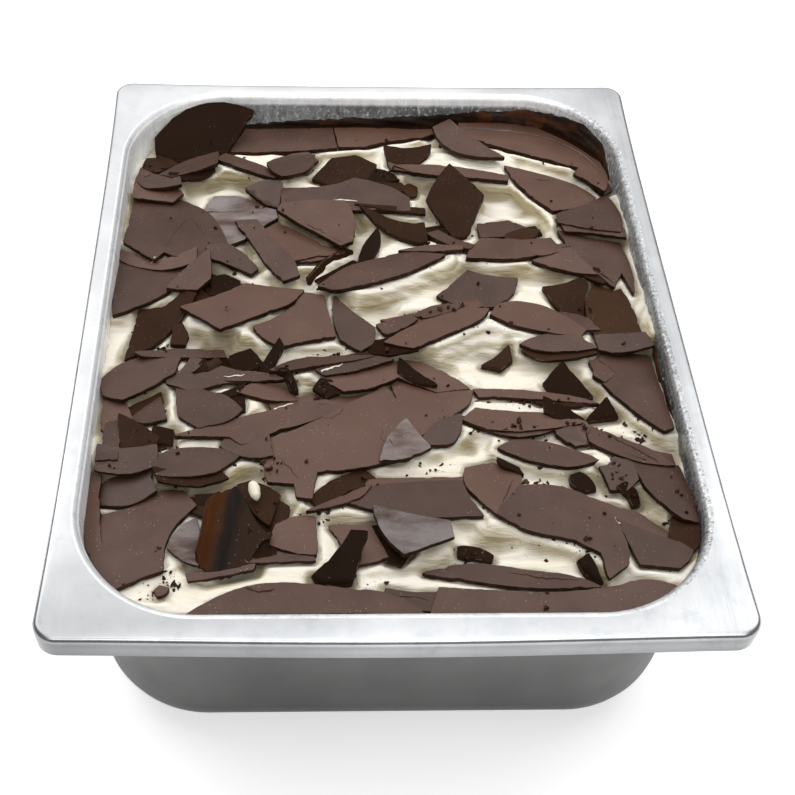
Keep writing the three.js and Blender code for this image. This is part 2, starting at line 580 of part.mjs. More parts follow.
const tub = new THREE.Group();
const room = cavity(WALL_CLEARANCE).subtract(makeCurl(FIT_GAP));
const laid = [];
for (const [name, outline, slope = [0, 0]] of SHARDS) {
  const shard = layShard(outline, slope, laid);
  addMesh(tub, `shard_${name}`, geometryOf(shardSolid(shard, laid, room)), CHOCOLATE);
  laid.push(shard);
}
const standing = leaningPlate(STANDING);
addMesh(tub, "shard_standing", geometryOf(shardSolid(standing, laid, room)), CHOCOLATE);
laid.push(standing);
addMesh(tub, "shard_curl", geometryOf(makeCurl(0)), CHOCOLATE);
laid.push(leaningPlate(CURL));
addMesh(tub, "gelato", makeGelato(laid, cavity(FIT_GAP)), CREAM);
addMesh(tub, "pan", makePan(), STEEL);
const outer = new THREE.Box3().setFromObject(tub);
tub.position.y = -(outer.min.y + outer.max.y) / 2; // the bowed front moves the middle of the whole

export default tub;
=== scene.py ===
"""Looks of a steel half pan of white gelato under broken dark chocolate.

Lengths are in millimetres until a mesh is made. +Z is up and +Y runs to the back of the pan. Places in
the tables count from the middle of the pan's walls, which lies SHIFT_Y behind the origin, unless their
comment says that they count from the origin.
"""

import math

import bmesh
import bpy
import numpy as np
from mathutils import Matrix, Vector, geometry


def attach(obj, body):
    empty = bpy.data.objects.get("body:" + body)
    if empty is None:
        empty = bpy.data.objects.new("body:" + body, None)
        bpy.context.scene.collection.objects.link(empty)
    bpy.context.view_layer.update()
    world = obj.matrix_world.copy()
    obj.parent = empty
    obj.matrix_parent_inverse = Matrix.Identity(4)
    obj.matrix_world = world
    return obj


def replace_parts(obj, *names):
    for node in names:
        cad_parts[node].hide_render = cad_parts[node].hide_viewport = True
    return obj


MM = 0.001
SEED = 7

# The pan, as in the CAD model.
RIM_WIDTH = 265.0
RIM_LENGTH = 325.0
PAN_DEPTH = 100.0
SHEET = 0.8
WALL_INSET = 10.0
WALL_DRAFT = 1.0
WALL_CORNER = 48.0
ROLL_RADIUS = 3.0
BOTTOM_FILLET = 21.0
RIM_CORNER = 8.0
RIM_BEND = 2.5
LIP_HEIGHT = 10.5
FRONT_BOW = 3.5
RIM_FLARE = 1.6
FLARE_POWER = 4
SHIFT_Y = 1.1  # the walls' middle lies this far behind the middle of the bowed rim
CORNER_STEPS = 24
SIDE_STEPS = 16
BEND_STEPS = 8

# The filling.
FLOOR_HEIGHT = 82.0
BACK_DROP = 6.0
BACK_DROP_START = 100.0
BACK_DROP_END = 150.0
RIDGE_BACK_RUN = 60.0
RIDGE_END_FADE = 14.0
CELL = 0.95  # of the gelato's surface mesh
INTO_WALL = 0.4  # the gelato reaches this far into the steel, so no air gap shows
FILLING_HALF = (RIM_WIDTH / 2 - WALL_INSET + INTO_WALL, RIM_LENGTH / 2 - WALL_INSET + INTO_WALL)
FILLING_SKIRT = ((0.9, 40.0), (1.3, 24.0), (9.0, 6.0), (22.0, 1.2))  # how far in, at which height
UNDER_SHARD = 0.15  # gelato below a shard's underside
TEAR_STEP = 3.4  # the height of a step where the gelato was torn
OVERHANG = 1.5  # a shard's edge stands this far out over the gelato that carries it
CLING_REACH = 7.0  # from the wall, where the gelato clings to it
CLING_FRONT = -140.0  # it doesn't cling in front of this
CLING_LEFT = 0.45  # the share of it that clings on the left
WELL_INSIDE = 1.5  # crumbs keep this far from the wall
NEAR_PLATE = 6  # a plate shapes the gelato this far beyond the box round its outline
BESIDE = (0.2, 1.2, 0.8)  # the most it rises beside one: how far under its underside, slope, from how far off
BED_SLOPE = 1.6  # how steeply the bed under a plate falls away
TORN = 0.75  # how far the gelato goes toward its steps
HOLLOW_CELLS = 6  # half the width of the running mean that tells hollows from crests
HOLLOW_DEPTH = 5.0  # below that mean, where the painted shade of the recesses is darkest
# Waves of the gelato: height, length along X and Y, seed.
GELATO_WAVES = [(0.55, 13, 8, SEED + 1), (0.22, 14, 1.7, SEED + 11), (0.10, 2.1, 2.1, SEED + 21)]

# Broken plates.
SHARD_THICKNESS = 1.8  # of the solids
PLATE_THICKNESS = 2.7  # as seen, with the same upper faces
LOW_THICKNESS = 1.9
LOW_LIFT = 1.0  # of a lower piece's face over what carries it
PLATE_TAPER = 0.2  # the wall's draft at the height of the plates
EDGE_STEP = 0.9
EDGE_ROUGH = 0.10
SIDE_BOW = 0.014  # of a straight side, as a share of its length
BLUNT = 0.79  # cosine of the sharpest turn that counts as part of a curve
GROWTH = 0.5  # the broken edge stands this far outside the outline
CHIP_SPACING = 60  # steps of the edge for each chip out of it
CHIP_DEPTH = (0.2, 0.8)
CHIP_WIDTH = (0.8, 2.4)  # in steps of the edge
DEPTH_SCATTER = 0.06  # of a plate's thickness
SIDE_SCATTER = 0.10
EDGE_HIGHLIGHT = 0.75  # where the soft jitter is over this, the upper edge gets a painted highlight
FACE_STEP = 3.0
FACE_SCATTER = 0.8  # how far a face's inner points stray from their grid
FACE_MARGIN = 0.9  # how far they keep from its edge
WARP = 0.22
SMALL_WARP = 0.15
WARP_LENGTH = 19.0
SHARP = 48  # degrees between two faces at a hard edge
UPWARD = 0.7  # a face whose normal rises more than this looks up
SAME_WAY = 2  # degrees that the faces of a plate's top may differ
OVER_PLATE = 0.2  # a small piece keeps this far over a plate below it
SLOPES_X = (-0.2, 0.2)  # of small pieces
SLOPES_Y = (-0.25, 0.05)
RESTS_ON_CRESTS = 0.7  # how far a small piece is lifted onto the crests below it
ON_PLATE = 1.2  # where the roof stands this far above the gelato, it is a plate
# A plate's side from its underside up: share of the depth, how far in, and how much of the unevenness.
PLATE_SIDE = [(1.0, 0.30, 0), (0.86, 0.02, 1), (0.5, 0.05, -1), (0.15, 0.0, 0), (0.02, 0.15, 0)]

# Seeds of the warp of small pieces; each piece has the next.
BITS_SEED = 200
LOW_SEED = 400

# Crumbs and ribbons.
WIDE_HEAP = 60.0  # a heap that spreads further than this is spread evenly
RIBBON_STEP = 0.7
RIBBON_WANDER = 0.3
CRUMB_SIZES = (0.25, 1.6)  # the smallest, and what the largest add to it
CRUMB_POWER = 3.5  # the higher, the fewer large ones
CHIP_SIZES = (0.9, 2.4)
FLAKE_SIZES = (0.12, 0.42)

# Plates by their skin, and by a tone that darkens or lightens their face. Bloom is a finish of the chocolate;
# the dark and black skins are darker copies of it that paint shade.
BLOOM = ("pale_flag", "front_pale_tile")
DARK = (
    "dark_diamond", "back_dark_kite", "back_bent_tile", "dark_scoop", "right_dark_scoop", "left_black_tile",
    "curl_neighbour", "left_dark_tile", "right_slab",
)
BLACK = ("standing", "black_triangle")
FINISHES_AND_PAINTED_SHADE = {**dict.fromkeys(BLOOM, "bloom"), **dict.fromkeys(DARK, "dark"), **dict.fromkeys(BLACK, "black")}
DEEP = (
    "left_table", "front_band", "right_back_tile", "middle_slip", "front_corner_tile", "centre_dark_tile",
    "front_right_tile", "back_triangle", "left_black_tile", "black_triangle", "back_bent_tile",
    "curl_neighbour", "standing", "front_pale_tile", "dark_scoop",
)
MIDDLE = (
    "front_wall_strip_left", "front_wall_strip_right", "back_strip_left", "centre_table", "corner_table",
)
PALE = (
    "middle_wedge", "centre_front_tile", "front_flag", "front_crest_slat", "left_pocket_tile", "crest_slat",
    "mound_left_tile", "mound_right_tile", "back_strip_right", "back_strip_middle", "left_kite", "right_slab",
)
TONES = {**dict.fromkeys(DEEP, 0.05), **dict.fromkeys(MIDDLE, 0.45), **dict.fromkeys(PALE, 0.9)}

# A small piece's skin: its place among the materials, and its tone where it isn't drawn. The dark and black
# skins paint shade.
SKINS = {"face": 0, "deep": 0, "pale": 0, "dark": 3, "black": 4, "bloom": 5}
SKIN_TONES = {"deep": 0.05, "pale": 0.9}

# The narrow plate that stands tipped behind the middle: its outline along and up from its foot, then
# where its foot is, counted from the origin, and which ways it runs and stands.
NARROW = [(0, 0), (28, 0.5), (29, 3.5), (26, 6.5), (10, 8), (1, 6)]
NARROW_FOOT = (-31, 26.5, 84.5)
NARROW_ALONG = (20, 20.5, 1.5)
NARROW_UP = (-0.4, 0.35, 1)

# The curled plate.
CURL_OUTLINE = [
    (-80, -126), (-79, -117), (-72, -103), (-62, -92), (-57, -99), (-50, -113), (-54, -128), (-72, -131),
]
CURL_FOOT = (-70, -129, 85.6)
CURL_SLOPE = 0.2
CURL_TURN = -12
CURL_RADIUS = 9
CURL_FROM, CURL_TO = 188, 284
CURL_SKIN = 1.5
CURL_COLUMNS = 54
CURL_ROWS = 40
CURL_PAINTED_GLOW = (-10, 14)  # along X from its foot: where the painted light through it is strongest, and where it ends
CURL_RIM_START = 12.4  # across the plate, where its pale broken rim begins
CURL_RIM = ((1.0, 0.02), (0.35, 1.2), (-0.3, 0.3))  # how far behind its end, and how high over its skin
# Across the bent plate from its free left edge: distance, then where it starts and ends along the curl.
CURL_ENDS = [
    (0, 7, 27), (4.7, 2, 32.5), (8.7, 0, 36), (12.4, -0.5, 38.6), (17, -0.3, 33.5), (22, 1.5, 27.5),
    (25, 4, 23.5), (27, 10, 21.5), (29, 15, 20.6), (32, 18.5, 20.2),
]

# Drops of gelato on top: where, counted from the origin, how wide, long and high, and how each is turned.
DROPS = [
    ((-54.9, -94.4, 95.0), (2.4, 4.3, 2.0), 14),
    ((88.0, -76.5, 89.6), (4.6, 3.0, 2.6), -20),
]

# The chocolate that ran up the wall: distance along the wall from FILM_START at the back, then its top edge.
FILM_START = -66
FILM_FOOT = 74
FILM_END_HEIGHT = 78
FILM_STEP = 0.8
FILM_ROWS = 12
INTO_STEEL = 0.15  # the film's edges reach this far into the wall
FILM_DEPTH = 0.9
FILM_SWELL = 0.35
WALL_FILM = [
    (0, 80), (8, 82.5), (16, 83), (40, 85), (66, 86.8), (90, 88), (114, 89.8), (140, 92.5), (165, 94),
    (185, 96), (198, 94.5), (206, 88), (216, 82), (250, 81), (290, 82), (312, 86), (330, 90.5), (350, 89),
    (372, 90), (392, 86), (410, 88), (440, 86), (462, 79),
]

# The camera, in degrees and millimetres; the shift of its lens is a share of the picture's width.
CAMERA_AZIMUTH = -3.04
CAMERA_ELEVATION = 49.20
CAMERA_ROLL = 2.36
CAMERA_TARGET = (-17.7, -32.1, 99.9)
CAMERA_DISTANCE = 535.0
LENS = 56.5585
LENS_SHIFT = (0.066164, -0.042013)
SENSOR = 36

# Area lights, in metres and watts: name, place, what each faces, its size and its power.
LIGHTS = [
    ("back", (-0.1, 1.08, 1.52), (0, 0, 0.08), (2.4, 1.8), 18),
    ("left", (-1.3, 0.7, 1.5), (0, 0, 0.08), (1.0, 1.0), 9),
    ("right", (1.3, 0.7, 1.5), (0, 0, 0.08), (1.0, 1.0), 9),
    ("top", (0.0, 0.0, 1.9), (0, 0, 0), (1.9, 1.1), 12),
    ("front", (0.1, -1.3, 1.62), (0, -0.1, 0.1), (1.9, 0.26), 5),
    ("roll", (0, -0.75, 1.4), (0, 0.1, 0.1), (2.0, 1.3), 14),
    ("wall", (0, -1.1, 1.25), (0, 0.15, 0.1), (1.6, 0.9), 26),
]
SKY_STRENGTH = 0.2
FLOOR_HALF = 6000.0

# Materials: short names of the shader's sockets, the sockets of a colour mix, and where the rim lies.
SOCKETS = {
    "colour": "Base Color", "normal": "Normal", "rough": "Roughness", "metal": "Metallic",
    "sheen": "Specular IOR Level", "soft": "Subsurface Weight", "soft_reach": "Subsurface Radius",
    "soft_size": "Subsurface Scale", "light": "Emission Strength", "light_colour": "Emission Color",
}
MIX_FACTOR, MIX_FIRST, MIX_SECOND, MIX_RESULT = 0, 6, 7, 2
RIM_X = (-134, 134)
RIM_FRONT = (-155, -120)
RIM_BACK = (120, 155)
NOTHING = (0.0, 0.0, 0.0)
WHITE = (1.0, 1.0, 1.0)

# Chocolate faces: colour, paler colour, roughness, sheen, dust and bloom. The dark and black faces are darker
# copies that paint shade.
FACES = [
    ("face", (0.061, 0.0268, 0.0168), (0.092, 0.0458, 0.0298), 0.42, 0.36, 1.0, 0.0),
    ("dark", (0.031, 0.0125, 0.005), (0.042, 0.019, 0.009), 0.4, 0.06, 0.4, 0.0),
    ("black", (0.011, 0.0045, 0.0015), (0.016, 0.007, 0.003), 0.42, 0.04, 0.25, 0.0),
    ("bloom", (0.062, 0.030, 0.022), (0.082, 0.043, 0.033), 0.42, 0.3, 1.0, 0.55),
    # a paler, glossier face for stretches of the plates' upper edges: a painted highlight
    ("worn", (0.085, 0.048, 0.034), (0.16, 0.10, 0.075), 0.4, 0.5, 0.8, 0.0),
    ("flake", (0.20, 0.11, 0.07), (0.42, 0.30, 0.22), 0.5, 0.3, 0.5, 0.0),
]

# Ridges left by the spatula: three points of each crest, then its rise and how far its front face runs.
RIDGES = [
    ((-108, 86), (-78, 104), (-46, 90), 10, 6),
    ((-74, 120), (-20, 122), (24, 134), 8, 6),
    ((46, 132), (80, 119), (106, 108), 10, 9),
    ((8, 102), (42, 98), (69, 93), 10, 7),
    ((67, 100), (79, 78), (92, 58), 11, 12),
    ((-48, 73), (-17, 78), (18, 72), 9, 7),
    ((40, 39), (62, 37), (93, 44), 10, 11),
    ((-25, 15), (4, 23), (35, 39), 11, 17),
    ((-52, 34), (-38, 36), (-16, 40), 9, 8),
    ((-122, 50), (-103, 38), (-72, 44), 9, 7),
    ((-93, 4), (-60, -10), (-20, -12), 10, 10),
    ((10, -20), (28, -11), (50, 0), 11, 20),
    ((46, 0), (70, -9), (95, -13), 11, 26),
    ((-49, -30), (-28, -33), (-2, -25), 8, 7),
    ((92, -36), (107, -56), (122, -64), 10, 10),
    ((-63, -70), (-30, -83), (-6, -80), 9, 8),
    ((-8, -80), (12, -73), (38, -61), 9, 10),
    ((34, -60), (60, -63), (84, -60), 9, 7),
    ((44, -72), (64, -80), (90, -79), 9, 8),
    ((96, -78), (108, -98), (122, -110), 10, 11),
    ((-37, -104), (0, -104), (38, -106), 9, 7),
    ((38, -109), (60, -114), (84, -126), 11, 14),
    ((90, -127), (105, -131), (120, -122), 8, 7),
    ((-109, -137), (-92, -131), (-80, -123), 8, 8),
    ((-80, -132), (-55, -128), (-28, -126), 8, 9),
    ((-24, -130), (2, -126), (25, -119), 8, 9),
    ((-122, -44), (-106, -42), (-90, -32), 9, 7),
    ((-93, -57), (-78, -62), (-58, -54), 9, 7),
    ((-99, -83), (-82, -86), (-60, -77), 9, 8),
    ((86, 63), (104, 58), (123, 55), 10, 6),
    ((94, 30), (107, 22), (123, 18), 9, 6),
    ((94, -11), (106, -15), (123, -12), 10, 6),
    ((-123, 3), (-110, 8), (-98, 16), 9, 6),
    ((-116, -23), (-102, -16), (-89, -4), 9, 6),
    ((-123, -80), (-108, -79), (-96, -73), 9, 6),
    ((-112, -146), (0, -149), (112, -146), 8, 3),
]

# Smaller broken pieces: outline, skin, and how far a piece is tipped back beyond what it lies on.
# Some black pieces are put where only a shadow falls between plates: painted shadow.
BITS = [
    ([(-116, 119), (-117, 110), (-109, 102), (-99, 108), (-103, 114)], "dark"),
    ([(-118, 110), (-120, 96), (-111, 95), (-107, 100)], "face"),
    ([(-107, 98), (-96, 109), (-79, 118), (-79, 106), (-90, 99), (-101, 95)], "deep"),
    ([(-118, 95), (-108, 98), (-97, 95), (-96, 90), (-108, 89), (-115, 91)], "deep"),
    ([(-64, 92), (-50, 94), (-46, 92), (-48, 79), (-56, 84)], "face", 0.3),
    ([(50, 56), (50, 67), (65, 70), (75, 63), (63, 57)], "face"),
    ([(62, 57), (74, 61), (79, 60), (75, 56), (63, 54)], "dark", 0.4),
    ([(73, 38), (81, 42), (91, 46), (102, 29), (93, 30), (82, 34)], "face"),
    ([(-10, 40), (-7, 48), (0, 58), (1, 51), (-3, 43)], "black", 0.5),
    ([(24, 58), (30, 61), (37, 54), (46, 49), (44, 46), (33, 50)], "face"),
    ([(10, 45), (24, 48), (40, 47), (40, 44.5), (24, 44)], "face"),
    ([(-81, 46), (-72, 50), (-64, 45), (-57, 37), (-60, 33), (-68, 36), (-78, 39)], "deep"),
    ([(-79, 27), (-72, 29), (-65, 26), (-66, 19), (-76, 18)], "black", 0.5),
    ([(-2, 1), (13, 5), (16, 1), (6, -5), (1, -6)], "face"),
    ([(15, 4), (24, 10), (38, 9), (30, 5), (19, 2)], "face"),
    ([(61, -15), (75, -10), (88, -12), (94, -19), (82, -20), (70, -19)], "face"),
    ([(44, -22), (50, -19), (56, -14), (57, -20), (52, -24)], "dark", 0.4),
    ([(91, -24), (96, -22), (101, -31), (95, -37), (91, -34)], "face"),
    ([(67, -47), (75, -51), (84, -57), (78, -58), (67, -54)], "black", 0.5),
    ([(85, -55), (95, -45), (99, -53)], "black", 0.6),
    ([(14, -67), (20, -60), (31, -56), (29, -66), (26, -70), (17, -70)], "deep", 0.25),
    ([(71, -64), (77, -60), (83, -69), (75, -68)], "face", 0.1),
    ([(84, -59), (97, -66), (110, -72), (118, -80), (110, -80), (95, -76), (84, -69)], "face"),
    ([(-34, -103), (-20, -96), (-8, -90), (-12, -96), (-24, -101)], "face"),
    ([(-25, -108), (-9, -108), (-3, -124), (-15, -128), (-19, -120)], "face"),
    ([(-32, -131), (-20, -121), (-17, -117), (-11, -118), (-17, -134), (-29, -134)], "black", 0.55),
    ([(-49, -117), (-46, -108), (-35, -104), (-31, -105), (-30, -123), (-40, -121)], "face"),
    ([(-119, -86), (-108, -81), (-98, -82), (-95, -91), (-104, -96), (-118, -94)], "deep"),
    ([(-79, -93), (-70, -93), (-72, -98), (-78, -98)], "black", 0.5),
    ([(-118, -51), (-113, -55), (-111, -78), (-119, -78)], "deep"),
    ([(-109, -54), (-97, -42), (-93, -56), (-103, -57)], "deep"),
    ([(-88, -32), (-78, -28), (-70, -30), (-71, -34), (-80, -38)], "face"),
    ([(-64, -41), (-58, -35.5), (-46, -35), (-41, -37), (-38, -42), (-50, -43.5)], "pale"),
    ([(-109, -20), (-92, -16), (-71, -13), (-70, -17), (-88, -20), (-106, -22)], "face"),
    ([(-90, -31), (-84, -20), (-79, -21), (-84, -28)], "face", 0.2),
    ([(-84, -28), (-79, -21), (-77, -25), (-81, -28)], "black", 0.5),
    ([(-79, -24), (-73, -19), (-71.5, -21.5), (-77, -26)], "dark", 0.4),
    ([(-93, -4), (-89.5, -3), (-87, -8), (-88, -12.5), (-94, -13)], "dark", 0.25),
    ([(-46, -15), (-50, -20), (-54.5, -27), (-52, -28), (-48, -24), (-44.5, -18)], "black", 0.5),
    ([(-72, -29), (-60, -28), (-50, -30), (-44, -33), (-58, -33.5), (-70, -32.5)], "face"),
    ([(-48, -29), (-43, -29), (-40, -33), (-38, -39), (-41, -38), (-43, -33)], "black", 0.4),
    ([(-31, -37), (-28, -33), (-23, -34), (-20, -39), (-25, -41)], "black", 0.3),
    ([(-72, -41.5), (-61, -37), (-63, -41.5), (-68, -43)], "black", 0.3),
    ([(-68, -18), (-59, -15), (-53, -23), (-58, -26), (-68, -22)], "black", 0.3),
    ([(-50, -29.5), (-38, -22), (-22, -20), (-4, -20), (-14, -23), (-28, -26), (-42, -29.5)], "face"),
    ([(11, -130), (28, -126), (50, -129), (73, -134), (78, -137), (50, -137), (25, -133)], "face"),
    ([(71, -126), (75, -124), (80, -134), (77, -133)], "black", 0.5),
    ([(-62, -89), (-57, -87), (-50, -90), (-45, -94), (-49, -109), (-54, -104)], "dark", 0.16),
    ([(-57, -112), (-54, -114), (-49, -113), (-49, -117), (-51, -122), (-55, -122)], "black", 0.5),
    ([(-1, -69), (8, -57), (13, -66), (17, -72), (6, -78), (-4, -80)], "bloom"),
    ([(44.5, -77.5), (53, -81.5), (54.5, -84.5), (46, -81)], "black", 0.2),
    ([(87, -80), (93, -77), (100, -81), (101, -88), (96, -92), (90, -91)], "face", 0.1),
    ([(74, -85), (78, -83.5), (83, -87), (84, -90), (78, -90), (74, -87.5)], "black", 0.3),
    ([(92, -91), (96, -89), (100, -92), (101, -97), (98, -98), (96, -94)], "black", 0.3),
    ([(25, -119.5), (28, -119), (36, -120), (38.6, -121.4), (38, -123.2), (25, -122.5)], "black", 0.2),
    ([(-91.5, -138), (-90, -136), (-86.5, -137), (-88, -139.3), (-90.3, -140.2)], "face", 0.2),
]

# Pieces that lie lower, partly under the ones above: outline, skin.
# Some black pieces are put where only a shadow falls between plates: painted shadow.
LOW_BITS = [
    ([(-102, 97), (-96, 94), (-86, 97), (-80, 105), (-88, 103), (-97, 98)], "black"),
    ([(-119, 95), (-108, 91), (-98, 91), (-95, 88), (-100, 82), (-119, 84)], "face"),
    ([(-80, 90), (-68, 90), (-58, 85), (-50, 79), (-58, 74), (-70, 77), (-84, 78)], "bloom"),
    ([(-50, 112), (-44, 118), (-33, 123), (-28, 118), (-36, 108)], "face"),
    ([(-72, 134), (-40, 137), (-40, 128), (-72, 122)], "face"),
    ([(-3, 98), (1, 107), (8, 103), (13, 97), (4, 97)], "black"),
    ([(7, 98), (14, 96), (16, 91), (12, 91), (5, 96)], "dark"),
    ([(8, 110), (13, 106), (33, 107), (36, 103), (20, 101), (9, 103)], "face"),
    ([(15, 94), (18, 97), (22, 95), (21, 88), (18, 86), (15, 90)], "dark"),
    ([(-123, 49), (-108, 39), (-97, 40), (-86, 45), (-86, 36), (-97, 33), (-112, 36), (-122, 42)], "face"),
    ([(-86, 20), (-80, 19), (-77, 23), (-76, 17), (-85, 11)], "dark"),
    ([(-80, 34), (-72, 32), (-64, 27), (-66, 22), (-78, 17), (-82, 24)], "black"),
    ([(89, 69), (105, 61), (120, 61), (120, 54), (104, 57), (91, 58)], "face"),
    ([(20, 64), (33, 66), (34, 58), (24, 57), (20, 58)], "black"),
    ([(-10, 77), (8, 76), (24, 76), (24, 72), (8, 73)], "dark"),
    ([(-96, -28), (-80, -31), (-71, -25), (-58, -28), (-58, -33), (-70, -34), (-82, -40),
      (-94, -36)], "face"),
    ([(-72, -17), (-60, -19), (-56, -24), (-64, -27), (-74, -24)], "black"),
    ([(-84, -17), (-73, -16), (-72, -23), (-83, -25)], "dark"),
    ([(-72, -40), (-61, -43), (-60, -52), (-66, -53)], "black"),
    ([(-50, -44.5), (-40, -41), (-36, -46), (-48, -50)], "face"),
    ([(-42, -42), (-30, -38), (-16, -40), (0, -35), (5, -38), (-14, -48), (-30, -46)], "face"),
    ([(-46, -26), (-26, -22), (-8, -17), (-4, -20), (-20, -24), (-46, -29)], "dark"),
    ([(-30, -28), (-6, -20), (4, -22), (-14, -29), (-26, -31.5)], "face"),
    ([(-6, -10), (6, -10), (13, -14), (15, -19), (4, -20), (-6, -18)], "black"),
    ([(7, -21), (12, -27), (22, -37), (12, -34), (6, -28)], "black"),
    ([(95, -10), (118, -8), (121, -15), (105, -19), (96, -18)], "face"),
    ([(-98, -59), (-90, -60), (-90, -68), (-99, -68)], "black"),
    ([(-120, -40), (-112, -46), (-107, -56), (-112, -62), (-120, -60)], "face"),
    ([(-112, -50), (-104, -44), (-97, -39), (-96, -44), (-108, -56)], "dark"),
    ([(-120, -70), (-108, -72), (-96, -70), (-95, -80), (-108, -84), (-120, -82)], "face"),
    ([(-123, -80), (-118, -82), (-117, -100), (-113, -118), (-103, -132), (-108, -134),
      (-119, -120)], "face"),
    ([(-96, -82), (-78, -84), (-70, -82), (-66, -86), (-80, -90), (-94, -88)], "dark"),
    ([(-82, -93), (-70, -91), (-66, -96), (-72, -104), (-80, -100)], "dark"),
    ([(-88, -119), (-83, -108), (-78, -104), (-76, -114), (-76, -127), (-84, -123)], "bloom"),
    ([(-80, -131.5), (-66, -130), (-54, -126), (-55, -128.5), (-67, -132), (-79, -134.5)], "face"),
    ([(-58, -124), (-46, -122.5), (-32, -122.5), (-31, -125), (-45, -125.5), (-57, -126)], "face"),
    ([(-70, 151), (0, 153), (70, 153), (96, 147), (112, 133), (119, 118), (113, 116), (100, 132),
      (84, 141), (48, 143), (0, 139), (-40, 137), (-70, 136)], "black"),
    ([(-33, -97), (-20, -85), (-10, -82), (-6, -86), (-16, -92), (-30, -100)], "dark"),
    ([(-10, -86), (10, -85.5), (32, -85), (32, -90), (0, -92), (-10, -90)], "face"),
    ([(-8, -108), (-2, -108), (6, -122), (2, -128), (-3, -126)], "black"),
    ([(-4, -137), (8, -139), (16, -139), (18, -147), (-4, -147)], "face"),
    ([(82, -94), (90, -98), (100, -102), (106, -108), (113, -114), (106, -116), (90, -108)], "face"),
    ([(112, -106), (121, -102), (121, -118), (114, -124), (108, -118)], "dark"),
    ([(62, -17), (78, -13), (90, -16), (94, -21), (80, -23), (68, -22)], "dark"),
    ([(60, -41), (78, -43), (88, -45), (84, -48), (66, -46)], "dark"),
    ([(40, 47), (60, 52), (84, 56), (86, 50), (60, 46)], "face"),
    ([(60, 62), (78, 66), (80, 59), (64, 56)], "black"),
    ([(-48, 44), (-30, 46), (-18, 50), (-16, 44), (-30, 38), (-44, 38)], "face"),
    ([(-30, 26), (-22, 32), (-12, 40), (-8, 36), (-16, 26), (-26, 22)], "black"),
    ([(0, 4), (14, 6), (30, 12), (44, 14), (46, 8), (30, 4), (10, -2)], "face"),
    ([(68, 4), (84, 6), (94, 2), (98, -6), (84, -6), (70, -2)], "face"),
    ([(96, 34), (106, 38), (112, 30), (104, 24), (96, 28)], "dark"),
    ([(112, 118), (120, 112), (121, 96), (116, 92), (110, 104)], "face"),
    ([(-66, -62), (-50, -64), (-48, -76), (-60, -76), (-70, -70)], "face"),
    ([(-56, -112), (-48, -110), (-46, -122), (-54, -124)], "black"),
    ([(36, -52), (60, -56), (70, -62), (54, -66), (38, -60)], "face"),
    ([(70, -54), (84, -58), (90, -68), (78, -70), (70, -62)], "face"),
    ([(92, -62), (108, -70), (119, -72), (119, -80), (100, -80), (90, -70)], "face"),
]

# Cracks in plates, read from above, and how wide they gape.
CRACKS = [
    ([(-12, 33), (-6, 31), (5, 26)], 0.7),
    ([(74, 99), (82, 98.5), (90, 99.5)], 0.8),
    ([(-97, 38), (-92, 31)], 0.7),
    ([(-91, 71), (-86, 63), (-82, 57)], 0.25),
    ([(-92, 70), (-97, 60), (-100, 48)], 0.2),
    ([(-19, 133), (-18, 122)], 0.35),
    ([(-34, 60), (-26, 54), (-16, 46)], 0.6),
    ([(-30, 94), (-24, 94)], 0.6),
    ([(-20, 90.5), (-12, 92)], 0.5),
    ([(92, -20), (97, -25), (102, -30)], 0.4),
    ([(-46, -76), (-41, -82), (-38, -88)], 0.35),
    ([(-27, -55), (-20, -52), (-17, -46)], 0.35),
    ([(-30, -45), (-22, -45)], 0.4),
    ([(-2, -60), (-3, -66), (2, -72)], 0.25),
    ([(50, -87), (46, -96), (42, -104)], 0.45),
    ([(86, -77), (98, -75), (112, -81)], 0.6),
    ([(90, -62), (100, -70), (112, -79)], 0.8),
    ([(-59, -136), (-52, -139), (-44, -136)], 0.7),
    ([(-4, -139), (4, -141), (12, -142)], 0.5),
    ([(106, 29), (110, 24), (113, 16)], 0.4),
    ([(44, -130), (58, -133), (70, -134)], 0.5),
    ([(-68, -25), (-50, -27), (-46, -28)], 0.5),
    ([(80, -22), (84, -24), (92, -28)], 0.3),
    ([(102, 34), (104, 30), (109, 25)], 0.9),
]

# Threads of gelato drawn over the plates, and how wide they are.
THREADS = [
    ([(-60, -53.5), (-50, -49), (-40, -44)], 1.3),
    ([(-22, 79.5), (-15, 80.5), (-9, 79.5)], 0.8),
    ([(-107, 37), (-102, 41)], 0.8),
    ([(-70, -31.5), (-65, -30.8), (-61, -30.3)], 0.8),
    ([(-32, -31), (-26, -28.5), (-18, -25.5)], 1.2),
    ([(89.3, -104.3), (90.4, -109), (92, -117.5), (93.6, -123), (94.7, -125.3)], 1.4),
    ([(94.7, -125.3), (90.7, -128.5), (86, -132.5), (83, -135)], 1.0),
]

# Painted highlights: pale lines laid over the chocolate, and how wide they are.
GLINTS = [
    ([(46, 142.5), (58, 143.4), (72, 143), (84, 141)], 2.4),
    ([(84, 141), (95, 137), (106, 129), (113, 118), (116, 108)], 0.6),
]

